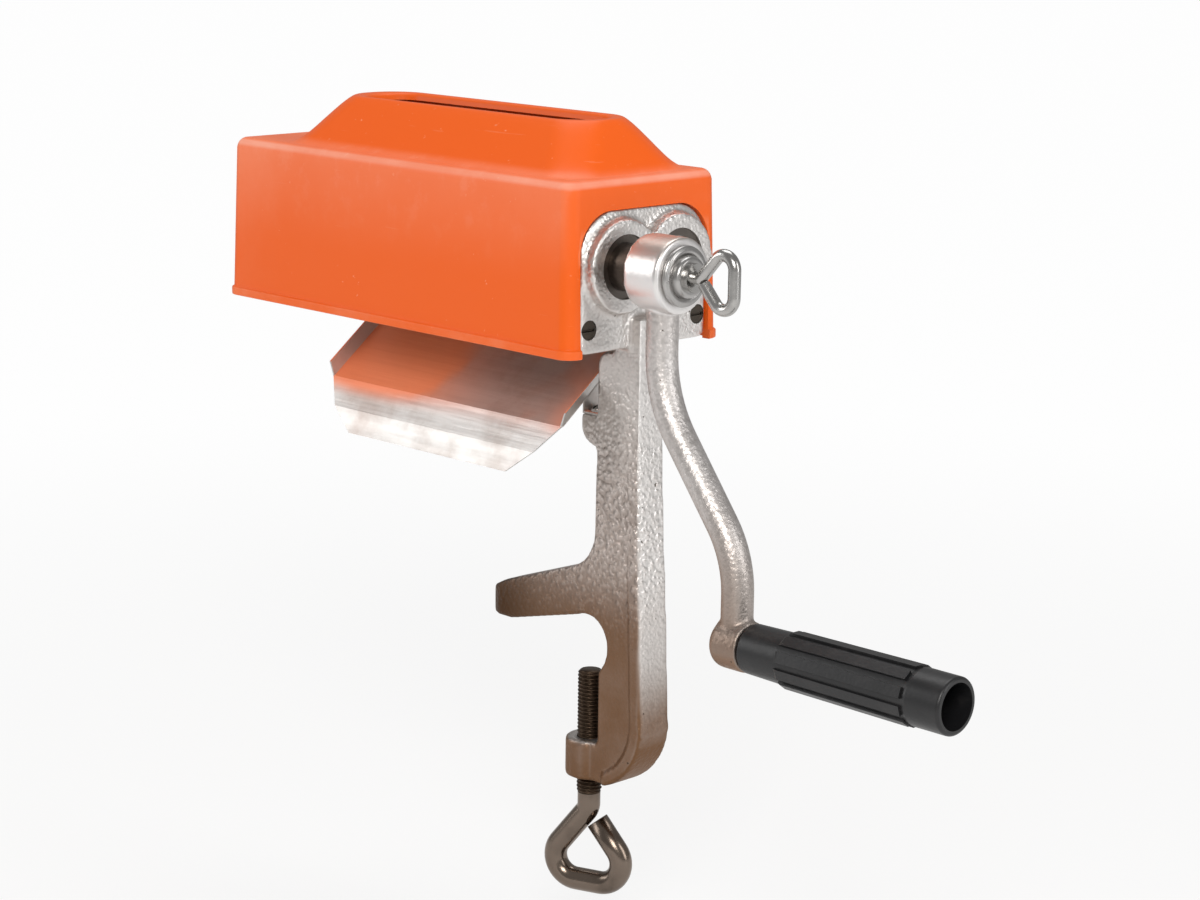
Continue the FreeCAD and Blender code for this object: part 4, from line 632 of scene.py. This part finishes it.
# painted highlight along the fold where the top turns down into the walls
tilted = orange_finish.facing("Z")
fold = tilted.ramp(0.2, 0.55) * (1 - tilted.ramp(0.75, 0.97))
fold = fold * height.ramp(0.1765, 0.178) * (1 - height.ramp(0.1807, 0.1811))
pale = orange_finish.mix(fold * (0.3 + cloud * 0.3), pale, FOLD_HIGHLIGHT)
orange_finish.set("Base Color", pale)
orange_finish.set("Roughness", 0.36 + orange_finish.noise(30, 4) * 0.12 + upper * cloud * 0.12)
orange_finish.bump(orange_finish.noise(11, 2) * 1.5 + speck * 0.02, 0.0015, 0.35)
give(orange_finish, "moulded_cover")


# Tray. Thin stainless sheet, cut, folded and brushed across its fall, with rubbed patches, a
# painted reflection of the orange cover on its floor below the cover, a faint painted pink
# reflection elsewhere, and one round-headed screw to the casting's lug.
SHEET_PALE = (0.62, 0.60, 0.58)
SHEET_DULL = (0.47, 0.42, 0.39)
SHEET_REFLECTED_ORANGE = (0.95, 0.27, 0.12)
SHEET_REFLECTED_PINK = (0.62, 0.42, 0.35)
FLOOR_BAND = (0.078, 0.088)
tray_finish = Finish("brushed_sheet", (0.64, 0.63, 0.61), 1.0, 0.3)
brush = tray_finish.noise(300, 3, tray_finish.stretched(0.06, 1, 1))
rubbed = tray_finish.noise(32, 5, rough=0.65)
blush = tray_finish.noise(16, 3).ramp(0.42, 0.62)
sheet = tray_finish.mix(rubbed.ramp(0.42, 0.7), SHEET_PALE, SHEET_DULL)
# painted reflection of the orange cover on the upward floor, stronger at the far side and the
# near corner, where the sheet is made less metallic
floor_side = tray_finish.facing("Z").ramp(0.1, 0.7) * tray_finish.axis("Z").ramp(*FLOOR_BAND)
far_side = 1 - tray_finish.axis("X").ramp(-0.075, 0.02)
near_corner = tray_finish.axis("X").ramp(0.035, 0.060)
reflected_orange = (floor_side * (0.3 + blush * 0.3 + far_side * 0.6 + near_corner * 0.4)).ramp(0.0, 0.85)
sheet = tray_finish.mix(reflected_orange, sheet, SHEET_REFLECTED_ORANGE)
# faint painted pink reflection on the rest of the sheet
sheet = tray_finish.mix(blush * (1 - floor_side) * 0.12, sheet, SHEET_REFLECTED_PINK)
tray_finish.set("Base Color", sheet)
tray_finish.set("Metallic", 1.0 - reflected_orange * 0.85)
tray_finish.set("Roughness", 0.26 + brush * 0.16 + rubbed * 0.12)
tray_finish.bump(brush + tray_finish.noise(9, 2) * 2.0, 0.0004, 0.4)
give(tray_finish, "discharge_tray")


# Crank. One more casting in the same alloy: the hub is turned smooth, the bent arm is left as
# cast, and the boss at its end holds the handle's pin.
CRANK_GRAIN = 0.0007
CRANK_ROUNDS = 5
HUB_SKIN = (0.000200, 0.000235)
CRANK_LOW_BAND = (0.012, 0.085)
GRIP_BOSS_BAND = (0.020, 0.032)
CRANK_BRIGHT = (0.73, 0.70, 0.685)
CRANK_DULL = (0.60, 0.565, 0.545)
HUB_BRIGHT = (0.84, 0.82, 0.81)
HUB_TAN_SHADE = (0.56, 0.46, 0.39)
CRANK_LOW_SHADE = (0.36, 0.30, 0.26)
GRIP_BOSS_SHADE_BROWN = (0.20, 0.15, 0.12)
CRANK_REFLECTED_BROWN = (0.30, 0.18, 0.115)
CRANK_CORNER_SHADE = (0.18, 0.12, 0.085)
CRANK_PIT = (0.08, 0.055, 0.035)
crank = copy_of("crank_arm", "cast_crank")
soften(crank, CRANK_GRAIN, CRANK_ROUNDS)
smooth(crank, 50)
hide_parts("crank_arm")
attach(crank, "front_roller")
crank_finish = cast_alloy("crank_alloy", CRANK_BRIGHT, CRANK_DULL, PEBBLE_DEPTH)
off_axle_y = crank_finish.axis("Y") + AXLE_SIDE
off_axle_z = crank_finish.axis("Z") - AXLE_HEIGHT
cast_skin = (off_axle_y * off_axle_y + off_axle_z * off_axle_z).ramp(*HUB_SKIN)
height = crank_finish.axis("Z")
low = 1 - height.ramp(*CRANK_LOW_BAND)
side = (0 - crank_finish.facing("Y")).ramp(0.2, 1.0)
inwards = (0 - crank_finish.facing("X")).ramp(0.0, 0.9)
under = (0 - crank_finish.facing("Z")).ramp(0.1, 0.8)
# painted brown reflection on faces turned inwards, down and to the front, strongest low down,
# left off the turned hub
reflected_brown = ((inwards * 0.9 + under * 0.8 + side * 0.5) * (0.25 + low * 0.75)).ramp(0.0, 1.0)
# painted tan shade on the turned hub's upward faces
upward = crank_finish.facing("Z").ramp(0.1, 0.9)
turned_hub = crank_finish.mix(upward * 0.7, HUB_BRIGHT, HUB_TAN_SHADE)
clean = crank_finish.mix(cast_skin, turned_hub, crank_finish.colour)
# painted shade and brown reflection, darker toward the crank's lower end and on the grip boss
clean = crank_finish.mix(low * 0.8, clean, CRANK_LOW_SHADE)
grip_boss = 1 - height.ramp(*GRIP_BOSS_BAND)
clean = crank_finish.mix(grip_boss * 0.45, clean, GRIP_BOSS_SHADE_BROWN)
browned = crank_finish.mix(reflected_brown * cast_skin * 0.85, clean, CRANK_REFLECTED_BROWN)
# painted shade in the concave corners, left off the turned hub
browned = crank_finish.mix(crank_finish.corners * cast_skin * 0.6, browned, CRANK_CORNER_SHADE)
browned = crank_finish.mix(crank_finish.pits * cast_skin * 0.8, browned, CRANK_PIT)
crank_finish.set("Base Color", browned)
crank_finish.set("Roughness", 0.31 + cast_skin * 0.1 + crank_finish.patches * 0.1)
crank_finish.bump(crank_finish.height * (0.10 + cast_skin * 0.45), 0.0006, 0.7)
give(crank_finish, "cast_crank")


# Thumb screw and washer. The screw is bent from one plated wire and closed to an eye for the
# fingers, and it holds the crank on its square through a pressed cup washer.
wire_finish = worn_metal("plated_wire", (0.52, 0.51, 0.495), 0.14, 0.5, 0.05)
give(wire_finish, "thumb_screw", "tray_screw")
washer_finish = worn_metal("turned_washer", (0.46, 0.45, 0.44), 0.22, 0.6, 0.1)
give(washer_finish, "thumb_washer")


# Grip. Black moulded tube with raised strips, open at its outer end, that turns on a headed
# steel pin with a washer under the head.
GRIP_BLACK = (0.009, 0.009, 0.010)
GRIP_WORN = (0.030, 0.028, 0.028)
grip_finish = Finish("black_plastic", (0.010, 0.010, 0.011), 0.0, 0.3)
wear = grip_finish.noise(90, 4, rough=0.6)
grip_finish.set("Base Color", grip_finish.mix(
    wear.ramp(0.5, 0.75) * 0.5, GRIP_BLACK, GRIP_WORN))
grip_finish.set("Roughness", 0.26 + wear * 0.22)
grip_finish.bump(grip_finish.noise(700, 2), 0.0002, 0.25)
give(grip_finish, "handle_grip")
pin_finish = worn_metal("steel_pin", (0.40, 0.39, 0.38), 0.26)
give(pin_finish, "handle_pin", "handle_washer")


# Clamp screw. A steel rod with a rolled M10 thread, its plain end bent round to an eye. The
# thread is dark with old oil and with painted shade, and the eye is bright where hands have
# turned it.
THREAD_PITCH = 0.0015
THREAD_DEPTH = 0.00082
THREAD_TOP = -0.0135
THREAD_END = -0.0636
THREAD_RADIUS = 0.00497
THREAD_STEPS = 40
THREAD_ROWS = 330
FLANK_STEEP = 2.5
FLANK_FLAT = 0.15
RUN_IN_LENGTH = 0.0018
RUN_IN_DROP = 0.0006
TIP_RADIUS = 0.0040
EYE_OVERLAP = 0.0004
bpy.ops.object.select_all(action="DESELECT")
bpy.ops.mesh.primitive_grid_add(x_subdivisions=THREAD_STEPS, y_subdivisions=THREAD_ROWS, size=1.0)
thread = bpy.context.active_object
thread.name = thread.data.name = "clamp_thread"
for vertex in thread.data.vertices:
    around = vertex.co.x + 0.5
    along = (vertex.co.y + 0.5) * (THREAD_TOP - THREAD_END)
    phase = (along / THREAD_PITCH + around) % 1.0
    depth = THREAD_DEPTH * min(1.0, max(0.0, abs(phase - 0.5) * FLANK_STEEP - FLANK_FLAT))
    run_in = min(1.0, along / RUN_IN_LENGTH)
    radius = THREAD_RADIUS - depth * run_in - RUN_IN_DROP * (1 - run_in)
    radius = min(radius, TIP_RADIUS + (THREAD_TOP - THREAD_END - along))
    angle = around * 2 * math.pi
    vertex.co = (CLAMP_SCREW_X + radius * math.cos(angle), radius * math.sin(angle),
                 THREAD_END + along)
select_only(thread)
bpy.ops.object.mode_set(mode="EDIT")
bpy.ops.mesh.select_all(action="SELECT")
bpy.ops.mesh.remove_doubles(threshold=0.00001)
bpy.ops.mesh.select_mode(type="EDGE")
bpy.ops.mesh.select_all(action="DESELECT")
bpy.ops.mesh.select_non_manifold()
bpy.ops.mesh.edge_face_add()
bpy.ops.mesh.select_all(action="SELECT")
bpy.ops.mesh.normals_make_consistent(inside=False)
bpy.ops.object.mode_set(mode="OBJECT")
smooth(thread, 50)

eye = copy_of("clamp_screw", "clamp_eye")
select_only(eye)
bpy.ops.object.mode_set(mode="EDIT")
bpy.ops.mesh.select_all(action="SELECT")
bpy.ops.mesh.bisect(plane_co=(0, 0, THREAD_END + EYE_OVERLAP), plane_no=(0, 0, 1),
                    clear_outer=True, use_fill=True)
bpy.ops.object.mode_set(mode="OBJECT")
smooth(eye, 40)
for piece in (thread, eye):
    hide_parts("clamp_screw")
    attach(piece, "clamp_screw")
# dark with old oil and with painted shade
thread_finish = worn_metal("oiled_thread_in_painted_shade", (0.085, 0.058, 0.040), 0.36)
give(thread_finish, "clamp_thread")
eye_finish = worn_metal("handled_eye", (0.215, 0.17, 0.138), 0.16, 0.5, 0.08)
give(eye_finish, "clamp_eye")
